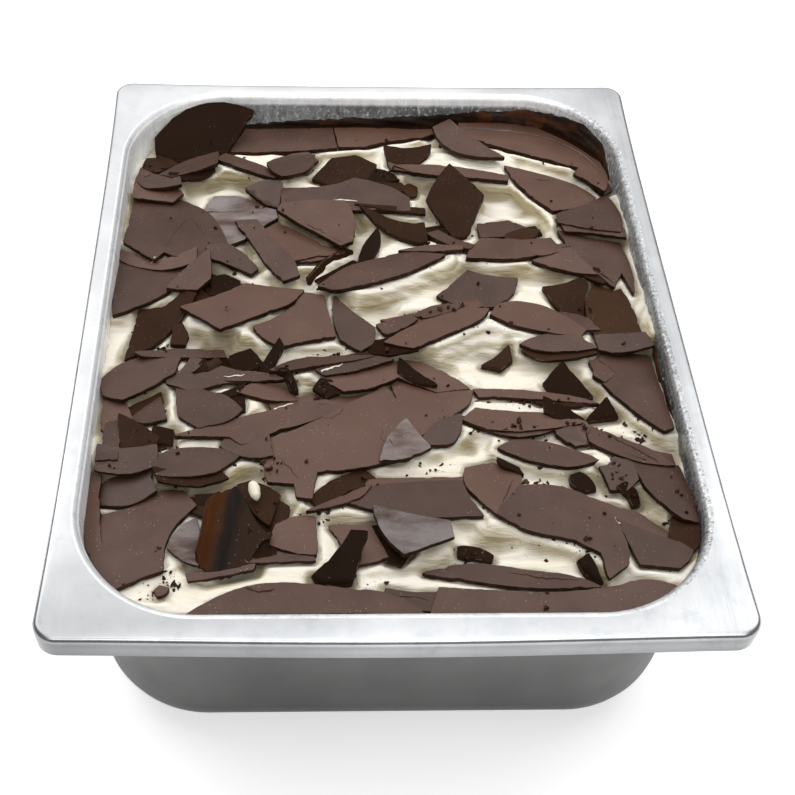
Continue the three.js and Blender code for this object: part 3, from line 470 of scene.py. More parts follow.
# Where crumbs gather, counted from the origin: middle, spread along X and Y, how many.
CRUMB_HEAPS = [
    ((-86, -132), (4, 4), 60),
    ((-27, -36), (4, 3), 60),
    ((-48, -28), (9, 4), 110),
    ((-40, -32), (2, 5), 40),
    ((8, 104), (4, 3), 60),
    ((90, 50), (3, 3), 35),
    ((104, 34), (3, 3), 30),
    ((54, 10), (5, 3), 40),
    ((24, 7), (14, 4), 90),
    ((66, -44), (16, 4), 90),
    ((84, -62), (10, 6), 110),
    ((100, -104), (9, 6), 50),
    ((106, -62), (7, 6), 60),
    ((92, -86), (5, 6), 50),
    ((64, -62), (20, 4), 110),
    ((26, -54), (7, 4), 60),
    ((-92, -68), (6, 3), 70),
    ((-48, -80), (6, 5), 80),
    ((-56, -112), (4, 5), 40),
    ((-112, -78), (8, 3), 50),
    ((-92, -118), (3, 5), 30),
    ((30, -120), (6, 3), 50),
    ((74, -120), (5, 4), 40),
    ((-28, -103), (3, 3), 25),
    ((-10, -134), (12, 3), 40),
    ((116, -92), (3, 10), 50),
    ((-70, 38), (8, 4), 40),
    ((-110, 104), (5, 6), 40),
    ((34, 52), (6, 4), 30),
    ((-20, -17), (14, 3), 60),
    ((-100, -14), (8, 3), 40),
    ((94, 4), (4, 5), 30),
    ((-94, -138), (6, 4), 35),
    ((20, -78), (8, 3), 30),
    ((60, -118), (12, 4), 30),
    ((48, -4), (8, 3), 20),
    ((0, 0), (110, 130), 500),
]

# Where larger chips gather, likewise.
CHUNK_HEAPS = [
    ((31, -121), (7, 1.6), 10),
    ((62, -87), (8, 1.4), 24),
    ((-27, -38), (4, 2.4), 26),
    ((-40, -34), (1.6, 5), 16),
    ((-50, -29), (8, 2.5), 20),
    ((-86, -133), (3, 2.4), 12),
    ((92, -85), (4, 5), 16),
    ((97, -92), (3, 3), 10),
    ((6, 105), (4, 3), 14),
    ((90, 51), (2, 2), 7),
    ((104, 33), (3, 2), 7),
    ((54, 10), (4, 2), 9),
    ((24, 8), (14, 2.4), 18),
    ((66, -44), (18, 2), 22),
    ((84, -60), (9, 4), 22),
    ((60, -61), (18, 2), 20),
    ((24, -52), (7, 2), 12),
    ((-93, -69), (4, 2), 14),
    ((-50, -76), (5, 3), 12),
    ((-55, -115), (3, 4), 10),
    ((-91, -121), (2, 4), 8),
    ((-28, -104), (1.6, 2), 6),
    ((76, -117), (5, 3), 8),
    ((-110, 106), (4, 5), 10),
    ((-20, -17), (14, 1.6), 14),
    ((-98, -15), (8, 2), 12),
    ((108, -62), (4, 4), 8),
    ((112, -104), (5, 5), 8),
    ((3, -14), (7, 2), 14),
    ((-70, 36), (8, 2), 8),
    ((-60, 80), (4, 4), 6),
    ((0, 135), (12, 2), 6),
]


# ---------------------------------------------------------------- numbers


def smoothstep(x, low, high):
    t = np.clip((x - low) / (high - low), 0, 1)
    return t * t * (3 - 2 * t)


def value_noise(x, y, seed):
    """Smooth noise from -1 to 1 with a period of one unit per bump."""
    table = np.random.default_rng(seed).uniform(-1, 1, (256, 256))
    column = np.floor(x).astype(int)
    row = np.floor(y).astype(int)
    u = smoothstep(x - column, 0, 1)
    v = smoothstep(y - row, 0, 1)
    near = table[row % 256, column % 256] * (1 - u) + table[row % 256, (column + 1) % 256] * u
    far = table[(row + 1) % 256, column % 256] * (1 - u) + table[(row + 1) % 256, (column + 1) % 256] * u
    return near * (1 - v) + far * v


def fractal(x, y, seed, octaves=3):
    total = 0
    for octave in range(octaves):
        total = total + value_noise(x * 2**octave, y * 2**octave, seed + octave) / 2**octave
    return total


def soft_jitter(count, width, rng):
    """Random numbers of about unit size around a loop, smoothed over `width` steps."""
    raw = rng.normal(size=count)
    kernel = np.hanning(2 * width + 3)[1:-1]
    wrapped = np.concatenate([raw[-width:], raw, raw[:width]]) if width < count else np.tile(raw, 3)
    smooth = np.convolve(wrapped, kernel / np.sqrt(np.sum(kernel**2)), "same")
    start = (len(smooth) - count) // 2
    return smooth[start : start + count]


def unit(vectors):
    """Rows of a table, each brought to a length of 1."""
    return vectors / (np.linalg.norm(vectors, axis=1)[:, None] + 1e-9)


# ---------------------------------------------------------------- outlines and planes


def counter_clockwise(outline):
    outline = np.asarray(outline, float)
    x, y = outline.T
    area = np.sum(x * np.roll(y, -1) - np.roll(x, -1) * y)
    return outline if area > 0 else outline[::-1]


def placed(outline):
    """An outline from the tables, from the origin."""
    return counter_clockwise([(x, y + SHIFT_Y) for x, y in outline])


def sides(outline):
    """Both ends of each side of an outline."""
    return zip(outline, np.roll(outline, -1, 0))


def inside_outline(outline, x, y):
    inside = np.zeros(x.shape, bool)
    for (x0, y0), (x1, y1) in sides(outline):
        if y0 != y1:
            crosses = (y0 > y) != (y1 > y)
            inside ^= crosses & (x < x0 + (x1 - x0) * (y - y0) / (y1 - y0))
    return inside


def distance_to_edge(outline, x, y):
    nearest = np.full(x.shape, np.inf)
    for (x0, y0), (x1, y1) in sides(outline):
        along = ((x - x0) * (x1 - x0) + (y - y0) * (y1 - y0)) / ((x1 - x0) ** 2 + (y1 - y0) ** 2)
        along = np.clip(along, 0, 1)
        nearest = np.minimum(nearest, np.hypot(x - x0 - along * (x1 - x0), y - y0 - along * (y1 - y0)))
    return nearest


def in_box(outline, x, y, margin=0.0):
    """Which places lie in the box round an outline."""
    low, high = outline.min(0) - margin, outline.max(0) + margin
    return (x > low[0]) & (x < high[0]) & (y > low[1]) & (y < high[1])


def raster(outline, step):
    """A square grid of places over an outline's box."""
    low, high = outline.min(0), outline.max(0)
    x, y = np.meshgrid(np.arange(low[0], high[0], step), np.arange(low[1], high[1], step))
    return x.ravel(), y.ravel()


def fitted_plane(x, y, z):
    """The level and the slopes along X and Y of the plane nearest to some points."""
    return np.linalg.lstsq(np.column_stack([np.ones(len(x)), x, y]), z, rcond=None)[0]


def plane_height(plane, x, y):
    return plane[0] + plane[1] * x + plane[2] * y


# ---------------------------------------------------------------- meshes


def in_scene(name, data):
    """An object made from its data and put into the scene."""
    obj = bpy.data.objects.new(name, data)
    bpy.context.scene.collection.objects.link(obj)
    return obj


def link(name, mesh, materials, sharp=None, smooth=True):
    """A shown piece that rides with the part."""
    obj = in_scene(name, mesh)
    for material in materials:
        mesh.materials.append(material)
    mesh.polygons.foreach_set("use_smooth", [smooth] * len(mesh.polygons))
    if sharp is not None:
        mesh.set_sharp_from_angle(angle=math.radians(sharp))
    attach(obj, "root")
    return obj


def mesh_from(name, vertices, faces):
    mesh = bpy.data.meshes.new(name)
    mesh.from_pydata((np.asarray(vertices, float) * MM).tolist(), [], faces)
    mesh.update()
    return mesh


def mesh_of(name, bm):
    """The mesh that bm holds; bm is done with."""
    mesh = bpy.data.meshes.new(name)
    bm.to_mesh(mesh)
    bm.free()
    return mesh


def outward(mesh):
    bm = bmesh.new()
    bm.from_mesh(mesh)
    bmesh.ops.recalc_face_normals(bm, faces=bm.faces)
    bm.to_mesh(mesh)
    bm.free()
    return mesh


def strip(first, second, closed=False):
    """Quads between two rows of vertices, or of their numbers. A closed row ends where it starts."""
    if closed:
        first, second = [*first, first[0]], [*second, second[0]]
    return [(a, b, d, c) for a, b, c, d in zip(first, first[1:], second, second[1:])]


def numbered(start, rows, columns):
    """Rows of vertex numbers in a grid."""
    return [range(start + row * columns, start + (row + 1) * columns) for row in range(rows)]


# ---------------------------------------------------------------- pan


def ring(inset, z, corner, spread=0.0):
    """A rounded rectangle that lies inset inside the rim. A spread of 1 gives it the rim's flare and bow."""
    half_x = RIM_WIDTH / 2 - inset
    half_y = RIM_LENGTH / 2 - inset
    loop = []
    for side_x, side_y, start in ((1, -1, -90), (1, 1, 0), (-1, 1, 90), (-1, -1, 180)):
        centre_x = side_x * (half_x - corner)
        centre_y = side_y * (half_y - corner)
        for step in range(CORNER_STEPS + 1):
            angle = math.radians(start + 90 * step / CORNER_STEPS)
            loop.append((centre_x + corner * math.cos(angle), centre_y + corner * math.sin(angle)))
        turned_by = math.radians(start + 90)
        from_x, from_y = loop[-1]
        along = 2 * (half_x - corner) if side_x == side_y else 2 * (half_y - corner)
        for step in range(1, SIDE_STEPS):
            distance = along * step / SIDE_STEPS
            loop.append((from_x - distance * math.sin(turned_by), from_y + distance * math.cos(turned_by)))
    x, y = np.array(loop).T
    flare_x = RIM_FLARE * np.sign(x) * (y / half_y) ** FLARE_POWER
    flare_y = RIM_FLARE * np.sign(y) * (x / half_x) ** FLARE_POWER
    bow = np.where(y < -half_y / 2, FRONT_BOW * np.maximum(0, 1 - (x / half_x) ** 2), 0)
    near_side = np.clip((np.abs(x) - half_x + corner) / corner, 0, 1)
    near_end = np.clip((np.abs(y) - half_y + corner) / corner, 0, 1)
    x = x + spread * near_side * flare_x
    y = y + spread * near_end * (flare_y - bow)
    return np.stack([x, y + SHIFT_Y, np.full_like(x, z)], 1)


def wall_ring(inset, z):
    return ring(inset, z, WALL_CORNER + WALL_INSET - inset)


def rim_ring(inset, z):
    return ring(inset, z, RIM_CORNER - inset, 1.0)


def bend(centre_inset, centre_z, radius, start, end, make_ring):
    angles = np.radians(np.linspace(start, end, BEND_STEPS + 1))
    return [make_ring(centre_inset + radius * math.cos(a), centre_z + radius * math.sin(a)) for a in angles]


def wall_rings(off):
    """The wall, from the bottom up to the roll, `off` inside its outer face."""
    radius = BOTTOM_FILLET - SHEET - off
    foot = WALL_INSET + WALL_DRAFT + off + radius
    rings = bend(foot, SHEET + off + radius, radius, 270, 180, wall_ring)
    return [*rings, wall_ring(WALL_INSET + off, PAN_DEPTH - ROLL_RADIUS)]


def make_pan(outside, inside, body):
    """One sheet: up the inner wall, over the roll and the rim, round the lip, and back down underneath."""
    roll_inset, roll_z = WALL_INSET - ROLL_RADIUS, PAN_DEPTH - ROLL_RADIUS
    bend_z = PAN_DEPTH - RIM_BEND
    inner = wall_rings(0)
    rings = [
        *inner,
        *bend(roll_inset, roll_z, ROLL_RADIUS, 0, 90, wall_ring)[1:],
        *bend(RIM_BEND, bend_z, RIM_BEND, 90, 180, rim_ring),
        rim_ring(0, PAN_DEPTH - LIP_HEIGHT),
        rim_ring(SHEET, PAN_DEPTH - LIP_HEIGHT),
        *bend(RIM_BEND, bend_z, RIM_BEND - SHEET, 180, 90, rim_ring),
        *bend(roll_inset, roll_z, ROLL_RADIUS - SHEET, 90, 0, wall_ring),
        *wall_rings(-SHEET)[:-1][::-1],
    ]
    count = len(rings[0])
    rows = numbered(0, len(rings), count)
    faces = [face for low, high in zip(rows, rows[1:]) for face in strip(low, high, closed=True)]
    vertices = np.concatenate([*rings, [(0, SHIFT_Y, SHEET), (0, SHIFT_Y, 0)]])
    bottom = len(vertices) - 2
    for i in range(count):
        after = (i + 1) % count
        faces.append((bottom, rows[0][after], rows[0][i]))
        faces.append((bottom + 1, rows[-1][i], rows[-1][after]))
    mesh = outward(mesh_from("pan_steel", vertices, faces))
    pan = link("pan_steel", mesh, [outside, inside, body], sharp=50)
    inner_faces = (len(inner) - 1 + BEND_STEPS) * count
    rim_faces = (len(inner) + 2 * BEND_STEPS + 2) * count
    number = np.arange(len(mesh.polygons))
    kinds = np.where(number < inner_faces, 1, np.where(number < rim_faces, 0, 2))
    mesh.polygons.foreach_set("material_index", kinds.tolist())
    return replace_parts(pan, "pan")


# ---------------------------------------------------------------- plates


def top_of(node):
    """Outline and plane (level, slope along X, slope along Y) of a laid shard's upper face."""
    mesh = node.data
    mesh.calc_loop_triangles()
    corners = np.array([v.co for v in mesh.vertices]) / MM
    triangles = np.array([t.vertices for t in mesh.loop_triangles])
    first, second, third = corners[triangles.T]
    normals = np.cross(second - first, third - first)
    normals /= np.linalg.norm(normals, axis=1)[:, None] + 1e-12
    up = normals[:, 2] > UPWARD
    upward = normals[up].mean(0)
    flat = normals @ (upward / np.linalg.norm(upward)) > math.cos(math.radians(SAME_WAY))
    keep = triangles[up & flat]
    plane = fitted_plane(*corners[np.unique(keep)].T)
    keys = {}
    ids = [keys.setdefault(tuple(np.round(c, 2)), len(keys)) for c in corners]
    points = dict(zip(ids, corners))
    edges = {(ids[one], ids[other]): True for a, b, c in keep for one, other in ((a, b), (b, c), (c, a))}
    after = {a: b for a, b in edges if (b, a) not in edges}
    loops = []
    while after:
        start = next(iter(after))
        loop = []
        while start in after:
            loop.append(start)
            start = after.pop(start)
        loops.append(loop)
    return counter_clockwise([points[i][:2] for i in max(loops, key=len)]), plane


def curved(outline, rng):
    """Points along an outline. Its blunt corners run on as one curve and its straight sides bow a little."""
    corners = np.asarray(outline, float)
    corners = corners[np.hypot(*(np.roll(corners, -1, 0) - corners).T) > 0.05]
    runs = np.roll(corners, -1, 0) - corners
    lengths = np.hypot(*runs.T)[:, None]
    heading = runs / lengths
    arriving = np.roll(heading, 1, 0)
    blunt = (arriving * heading).sum(1) > BLUNT
    through = unit(arriving * lengths + heading * np.roll(lengths, 1, 0))
    points = []
    for i, start in enumerate(corners):
        j = (i + 1) % len(corners)
        run, length = runs[i], lengths[i, 0]
        lean = 4 * rng.uniform(-1, 1) * SIDE_BOW * np.array([run[1], -run[0]])
        out = through[i] * length if blunt[i] else run + lean
        into = through[j] * length if blunt[j] else run - lean
        if blunt[i] and not blunt[j]:
            into = 1.5 * run - 0.5 * out
        if blunt[j] and not blunt[i]:
            out = 1.5 * run - 0.5 * into
        steps = max(1, round(length / EDGE_STEP))
        for t in np.arange(steps) / steps:
            blend = t * t * (3 - 2 * t)
            points.append(start + run * blend + out * t * (1 - t) ** 2 - into * t * t * (1 - t))
    return np.array(points)


def break_edge(outline, rng):
    """An outline whose edge is a little rough and chipped, and which way each of its points faces."""
    points = curved(outline, rng)
    count = len(points)
    tangent = unit(np.roll(points, -1, 0) - np.roll(points, 1, 0))
    normal = np.stack([tangent[:, 1], -tangent[:, 0]], 1)
    push = EDGE_ROUGH * (0.6 * soft_jitter(count, 1, rng) + 0.9 * soft_jitter(count, 4, rng)) + GROWTH
    place = np.arange(count)
    for _ in range(rng.poisson(count / CHIP_SPACING)):
        centre = rng.integers(count)
        gap = np.minimum(np.abs(place - centre), count - np.abs(place - centre))
        push -= rng.uniform(*CHIP_DEPTH) * np.exp(-((gap / rng.uniform(*CHIP_WIDTH)) ** 2))
    return kept_inside(points + normal * push[:, None]), normal


def kept_inside(points):
    """Points pulled back to the inner face of the pan's wall where they lie outside it."""
    inset = WALL_INSET + PLATE_TAPER
    corner = WALL_CORNER + WALL_INSET - inset
    reach = np.array([RIM_WIDTH, RIM_LENGTH]) / 2 - inset - corner
    place = points - (0, SHIFT_Y)
    middle = np.clip(place, -reach, reach)
    out = place - middle
    length = np.maximum(np.hypot(*out.T), 1e-9)[:, None]
    return middle + out * np.minimum(1, corner / length) + (0, SHIFT_Y)


def add_face(bm, rim, height, drop, material, rng):
    """Fills a ring of vertices with a face that lies `drop` below height(x, y)."""
    flat = np.array([(v.co.x / MM, v.co.y / MM) for v in rim])
    count = len(flat)
    x, y = raster(flat, FACE_STEP)
    x = x + rng.uniform(-FACE_SCATTER, FACE_SCATTER, x.size)
    y = y + rng.uniform(-FACE_SCATTER, FACE_SCATTER, y.size)
    good = inside_outline(flat, x, y) & (distance_to_edge(flat, x, y) > FACE_MARGIN)
    points = [Vector(p) for p in np.concatenate([flat, np.stack([x, y], 1)[good]])]
    edges = [(i, (i + 1) % count) for i in range(count)]
    positions, _, triangles, sources, *_ = geometry.delaunay_2d_cdt(points, edges, [], 1, 1e-5)
    at = np.array([(p.x, p.y) for p in positions])
    at = np.column_stack([at, height(*at.T) - drop])
    verts = []
    for place, source in zip(at, sources):
        on_rim = [k for k in source if k < count]
        verts.append(rim[on_rim[0]] if on_rim else bm.verts.new(place * MM))
    for triangle in triangles:
        corners = [verts[i] for i in (reversed(triangle) if drop else triangle)]
        if len({*corners}) == 3:
            try:
                bm.faces.new(corners).material_index = material
            except ValueError:
                continue  # this face is there already


def add_plate(bm, outline, height, rng, thickness=PLATE_THICKNESS, skin=0, toned=None):
    """Adds one broken plate to bm: its face follows height(x, y), its sides are rough, and stretches of its
    upper edge get a painted highlight.
    """
    edge, normal = break_edge(outline, rng)
    count = len(edge)
    before = len(bm.verts)
    tone = bm.verts.layers.float.get("tone") or bm.verts.layers.float.new("tone")
    drawn = rng.uniform(0, 1)
    depth = thickness * (1 + DEPTH_SCATTER * soft_jitter(count, 3, rng))
    uneven = SIDE_SCATTER * soft_jitter(count, 2, rng)
    # stretches of the upper edge that get the painted highlight
    worn = soft_jitter(count, 2, rng) > EDGE_HIGHLIGHT
    rings = []
    for share, inset, unevenness in PLATE_SIDE:
        points = edge - normal * (inset + unevenness * uneven)[:, None]
        z = height(*points.T) - depth * share
        rings.append([bm.verts.new(place * MM) for place in np.column_stack([points, z])])
    for low, high in zip(rings, rings[1:]):
        for i, corners in enumerate(strip(low, high, closed=True)):
            bm.faces.new(corners).material_index = 2 if high is rings[-1] and worn[i] else 1
    add_face(bm, rings[-1], height, 0, skin, rng)
    add_face(bm, rings[0], height, depth.mean(), 1, rng)
    bm.verts.ensure_lookup_table()
    for vertex in bm.verts[before:]:
        vertex[tone] = drawn if toned is None else toned


def add_tipped(bm, outline, foot, along, up, rng, skin):
    """Adds a plate that stands: its outline is given along and up from its foot."""
    piece = bmesh.new()
    add_plate(piece, counter_clockwise(outline), lambda x, y: 0 * x, rng, skin=skin)
    along = Vector(along).normalized()
    facing = along.cross(Vector(up)).normalized()
    turn = Matrix((along, facing.cross(along), facing)).transposed().to_4x4()
    piece.transform(Matrix.Translation(Vector(foot) * MM) @ turn)
    mesh = mesh_of("piece", piece)
    bm.from_mesh(mesh)
    bpy.data.meshes.remove(mesh)


def warped(plane, seed, amount=WARP):
    """Height of a plate's face: its plane with a slow warp."""
    return lambda x, y: (
        plane_height(plane, x, y) + amount * value_noise(x / WARP_LENGTH + seed, y / WARP_LENGTH, seed)
    )


def finish_plate(name, bm, materials):
    bmesh.ops.remove_doubles(bm, verts=bm.verts, dist=1e-7)
    bmesh.ops.recalc_face_normals(bm, faces=bm.faces)
    return link(name, mesh_of(name, bm), materials, SHARP)


def lay_plates(nodes, skins, broken, rng):
    """The large plates, each in place of its solid. Returns their outlines and planes."""
    laid = []
    for name in sorted(nodes):
        if not name.startswith("shard_") or name == "shard_curl":
            continue
        outline, plane = top_of(nodes[name])
        laid.append((outline, plane))
        bm = bmesh.new()
        kind = name.removeprefix("shard_")
        add_plate(bm, outline, warped(plane, len(laid)), rng, toned=TONES.get(kind))
        skin = skins[FINISHES_AND_PAINTED_SHADE.get(kind, "face")]
        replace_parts(finish_plate(f"plate_{kind}", bm, [skin, broken, skins["worn"]]), name)
    return laid


def lay(outline, tip, laid, lift):
    """The plane on which a small piece comes to rest on the gelato and on the plates below it."""
    x, y = raster(outline, 1.0)
    good = inside_outline(outline, x, y)
    x, y = x[good], y[good]
    bed = gelato_height(x, y - SHIFT_Y)
    for shape, plane in laid:
        on = inside_outline(shape, x, y)
        bed = np.where(on, np.maximum(bed, plane_height(plane, x, y) + OVER_PLATE), bed)
    level, slope_x, slope_y = fitted_plane(x, y, bed)
    mid_x, mid_y = x.mean(), y.mean()
    centre = level + slope_x * mid_x + slope_y * mid_y
    slope_x = float(np.clip(slope_x, *SLOPES_X))
    slope_y = float(np.clip(slope_y, *SLOPES_Y)) + tip
    plane = np.array([centre - slope_x * mid_x - slope_y * mid_y, slope_x, slope_y])
    plane[0] += np.quantile(bed - plane_height(plane, x, y), 0.8) * RESTS_ON_CRESTS + lift
    return plane


def lay_bits(bm, table, laid, seed, rng, thickness=PLATE_THICKNESS, lift=SHARD_THICKNESS):
    """Lays small pieces one by one, each on what already lies there, and adds them to what is laid."""
    for number, (outline, skin, *tip) in enumerate(table):
        shape = placed(outline)
        plane = lay(shape, tip[0] if tip else 0, laid, lift)
        laid.append((shape, plane))
        height = warped(plane, seed + number, SMALL_WARP)
        add_plate(bm, shape, height, rng, thickness, SKINS[skin], SKIN_TONES.get(skin))


# ---------------------------------------------------------------- gelato


def gelato_height(x, y):
    """The filling's height without its fine detail; y counts from the middle of the walls."""
    drop = BACK_DROP * smoothstep(y, BACK_DROP_START, BACK_DROP_END)
    rise = np.zeros_like(x)
    for (x0, y0), (x1, y1), (x2, y2), height, face_run in RIDGES:
        within = np.clip(x, x0, x2)
        fade = 1 - np.minimum(1, np.abs(x - within) / RIDGE_END_FADE)
        crest = (
            y0 * (within - x1) * (within - x2) / ((x0 - x1) * (x0 - x2))
            + y1 * (within - x0) * (within - x2) / ((x1 - x0) * (x1 - x2))
            + y2 * (within - x0) * (within - x1) / ((x2 - x0) * (x2 - x1))
        )
        behind = y - crest
        share = np.maximum(0, 1 - behind / RIDGE_BACK_RUN)
        face = np.where(behind < -face_run, 0, (1 + np.cos(np.pi * behind / face_run)) / 2)
        share = np.where(behind < 0, face, share)
        rise = np.maximum(rise, height * fade * share)
    return FLOOR_HEIGHT - drop + rise


def filling_grid():
    """A grid over the pan, its outer places drawn onto the wall, and how far inside the wall each was."""
    half = np.array(FILLING_HALF)[:, None, None]
    corner = WALL_CORNER + INTO_WALL
    columns, rows = (int(2 * reach / CELL) + 3 for reach in FILLING_HALF)
    xs = (np.arange(columns) - (columns - 1) / 2) * CELL
    ys = (np.arange(rows) - (rows - 1) / 2) * CELL
    place = np.stack(np.meshgrid(xs, ys))
    beyond = np.abs(place) - (half - corner)
    round_corner = (beyond > 0).all(0)
    radius = np.hypot(*np.maximum(beyond, 0))
    inward = np.where(round_corner, corner - radius, (half - np.abs(place)).min(0))
    pull = np.where(radius > 0, corner / np.maximum(radius, 1e-6), 1)
    on_corner = np.sign(place) * (half - corner + beyond * pull)
    on_wall = np.where(round_corner, on_corner, np.clip(place, -half, half))
    x, y = np.where(inward < 0, on_wall, place)
    return xs, ys, x, y, inward


def untouched(x, y, inward):
    """The filling's height before it is torn or pressed on. It clings to the wall, more on the right."""
    z = gelato_height(x, y)
    for height, length_x, length_y, seed in GELATO_WAVES:
        z = z + height * fractal(x / length_x, y / length_y, seed)
    cling = smoothstep(CLING_REACH - inward, 0, CLING_REACH)
    cling = cling * (2.2 + 1.6 * value_noise(x / 17, y / 17, SEED + 31))
    return z + cling * np.where(x > 0, 1.0, CLING_LEFT) * (y > CLING_FRONT)


def pressed(z, x, y, laid):
    """The filling lifted to carry each plate, and the height that it may not pass under and beside them."""
    ceiling = np.full(z.shape, np.inf)
    for shape, plane in laid:
        near = in_box(shape, x, y, NEAR_PLATE)
        qx, qy = x[near], y[near]
        under = plane_height(plane, qx, qy) - PLATE_THICKNESS - UNDER_SHARD
        within = inside_outline(shape, qx, qy)
        apart = distance_to_edge(shape, qx, qy) * np.where(within, -1, 1)
        # the filling stays low close to a plate's edge, and may rise away from it
        beside = under - BESIDE[0] + BESIDE[1] * np.maximum(0, apart - BESIDE[2])
        ceiling[near] = np.minimum(ceiling[near], np.where(within, under, beside))
        bed = under - 0.1 - BED_SLOPE * np.maximum(0, apart + OVERHANG)
        z[near] = np.maximum(z[near], bed)
    return np.minimum(z, ceiling), ceiling


def torn(z, x, y, ceiling):
    """The filling torn in steps, flat crests and then steep faces, with spatula lines along the ridges."""
    drift = 2.2 * value_noise(x / 34, y / 17, SEED + 61)
    level = (z + drift) / TEAR_STEP
    tread = np.floor(level)
    stepped = (tread + smoothstep(level - tread, 0.22, 0.62)) * TEAR_STEP - drift
    z = np.minimum(z + TORN * (stepped - z), ceiling)
    for _ in range(2):
        z = np.minimum(softened(z), ceiling)
    crest = 1 - 2 * np.abs(value_noise(x / 15 + 2, y / 3.4, SEED + 51))
    lines = 1 - 2 * np.abs(value_noise(x / 9, y / 1.9 + x / 30, SEED + 52))
    z = z + 0.42 * crest + 0.20 * lines * (0.5 + fractal(x / 18, y / 9, SEED + 53))
    return np.minimum(z, ceiling + 0.05)


def roofed(z, x, y, laid):
    """The height of whatever lies uppermost: gelato or plate."""
    roof = z.copy()
    for shape, plane in laid:
        near = in_box(shape, x, y)
        level = plane_height(plane, x[near], y[near])
        within = inside_outline(shape, x[near], y[near])
        roof[near] = np.where(within, np.maximum(roof[near], level), roof[near])
    return roof


def softened(grid):
    """The grid with each point drawn toward its neighbours."""
    for axis in (0, 1):
        grid = (np.roll(grid, 1, axis) + 2 * grid + np.roll(grid, -1, axis)) / 4
    return grid


def blurred(grid, cells):
    """The grid, smoothed by a running mean in both directions, three times over."""
    for axis in (0, 1) * 3:
        wide = np.concatenate([grid.take([0] * cells, axis), grid, grid.take([-1] * (cells + 1), axis)], axis)
        total = np.cumsum(wide, axis)
        count = grid.shape[axis]
        upper = total.take(range(2 * cells, 2 * cells + count), axis)
        grid = (upper - total.take(range(0, count), axis)) / (2 * cells)
    return grid


def close_below(bm):
    """Closes the filling from its open rim down to the pan's bottom."""
    rim = [e for e in bm.edges if e.is_boundary]
    middle = SHIFT_Y * MM
    last = np.ones(2)
    for inset, level in FILLING_SKIRT:
        made = bmesh.ops.extrude_edge_only(bm, edges=rim)["geom"]
        rim = [g for g in made if isinstance(g, bmesh.types.BMEdge)]
        scale = 1 - inset / np.array(FILLING_HALF)
        by_x, by_y = scale / last
        for v in {v for e in rim for v in e.verts}:
            v.co = (v.co.x * by_x, middle + (v.co.y - middle) * by_y, level * MM)
        last = scale
    bmesh.ops.edgeloop_fill(bm, edges=rim)
    bmesh.ops.recalc_face_normals(bm, faces=bm.faces)


def make_gelato(laid, curl_bed, material):
    """The filling, pressed against the underside of every plate, and what lies uppermost."""
    xs, ys, x, y, inward = filling_grid()
    shifted_y = y + SHIFT_Y
    z, ceiling = pressed(untouched(x, y, inward), x, shifted_y, [*laid, curl_bed])
    z = torn(z, x, y, ceiling)
    roof = roofed(z, x, shifted_y, laid)
    # painted shade: how far the filling lies below the running mean of what lies uppermost
    shade = np.clip((blurred(roof, HOLLOW_CELLS) - z) / HOLLOW_DEPTH, 0, 1)
    inside = inward >= 0
    keep = inside[:-1, :-1] | inside[:-1, 1:] | inside[1:, :-1] | inside[1:, 1:]
    index = np.arange(z.size).reshape(z.shape)
    quads = np.stack([index[:-1, :-1], index[:-1, 1:], index[1:, 1:], index[1:, :-1]], -1)[keep]
    used, quads = np.unique(quads, return_inverse=True)
    vertices = np.stack([x, shifted_y, z], -1).reshape(-1, 3)[used]
    mesh = mesh_from("gelato_filling", vertices, quads.reshape(-1, 4).tolist())
    hollow_shade = mesh.attributes.new("hollow_shade", "FLOAT", "POINT")
    hollow_shade.data.foreach_set("value", shade.ravel()[used].astype(np.float32))
    bm = bmesh.new()
    bm.from_mesh(mesh)
    bmesh.ops.remove_doubles(bm, verts=bm.verts, dist=2e-5)
    close_below(bm)
    bm.to_mesh(mesh)
    bm.free()
    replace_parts(link("gelato_filling", mesh, [material]), "gelato")
    return Surface(xs, ys + SHIFT_Y, z, roof, inward > WELL_INSIDE)


class Surface:
    """Grids of the gelato's height and of whatever lies uppermost, and which of their points hold gelato."""

    def __init__(self, xs, ys, gelato, roof, inside):
        self.start = (xs[0], ys[0])
        self.gelato = gelato
        self.roof = roof
        self.inside = inside

    def cells(self, x, y, margin=0.0):
        """Row and column of some places, with their fractions."""
        rows, columns = self.roof.shape
        column = np.clip((x - self.start[0]) / CELL, 0, columns - 1 - margin)
        row = np.clip((y - self.start[1]) / CELL, 0, rows - 1 - margin)
        return row, column

    def height(self, grid, x, y):
        """A grid's height between its points."""
        row, column = self.cells(x, y, 0.001)
        i, j = row.astype(int), column.astype(int)
        u, v = column - j, row - i
        near = grid[i, j] * (1 - u) + grid[i, j + 1] * u
        far = grid[i + 1, j] * (1 - u) + grid[i + 1, j + 1] * u
        return near * (1 - v) + far * v

    def top(self, x, y):
        return self.height(self.roof, x, y)

    def plated(self, x, y):
        """Where a plate lies uppermost."""
        return self.top(x, y) - self.height(self.gelato, x, y) > ON_PLATE

    def within(self, places):
        """The places that lie well inside the wall."""
        row, column = self.cells(*places.T)
        return places[self.inside[row.round().astype(int), column.round().astype(int)]]


# ---------------------------------------------------------------- crumbs


def chip(rng, size, flatness):
    """Corners and faces of one crumb: a broken lump with a pointed rim."""
    count = int(rng.integers(4, 7))
    angles = np.sort(rng.uniform(0, 2 * np.pi, count) * 0.4 + np.arange(count) * 2 * np.pi / count * 0.9)
    radii = size * rng.uniform(0.55, 1.0, count)
    narrowed = radii * rng.uniform(0.45, 1.0)
    rim = np.stack([radii * np.cos(angles), narrowed * np.sin(angles), np.zeros(count)], 1)
    low, high = rim * 0.75, rim * 0.8
    low[:, 2] = -size * flatness
    high[:, 2] = size * flatness * rng.uniform(0.5, 1.2, count)
    bottom, middle, top = numbered(0, 3, count)
    faces = [tuple(reversed(bottom)), tuple(top), *strip(bottom, middle, True), *strip(middle, top, True)]
    return np.concatenate([low, rim, high]), faces


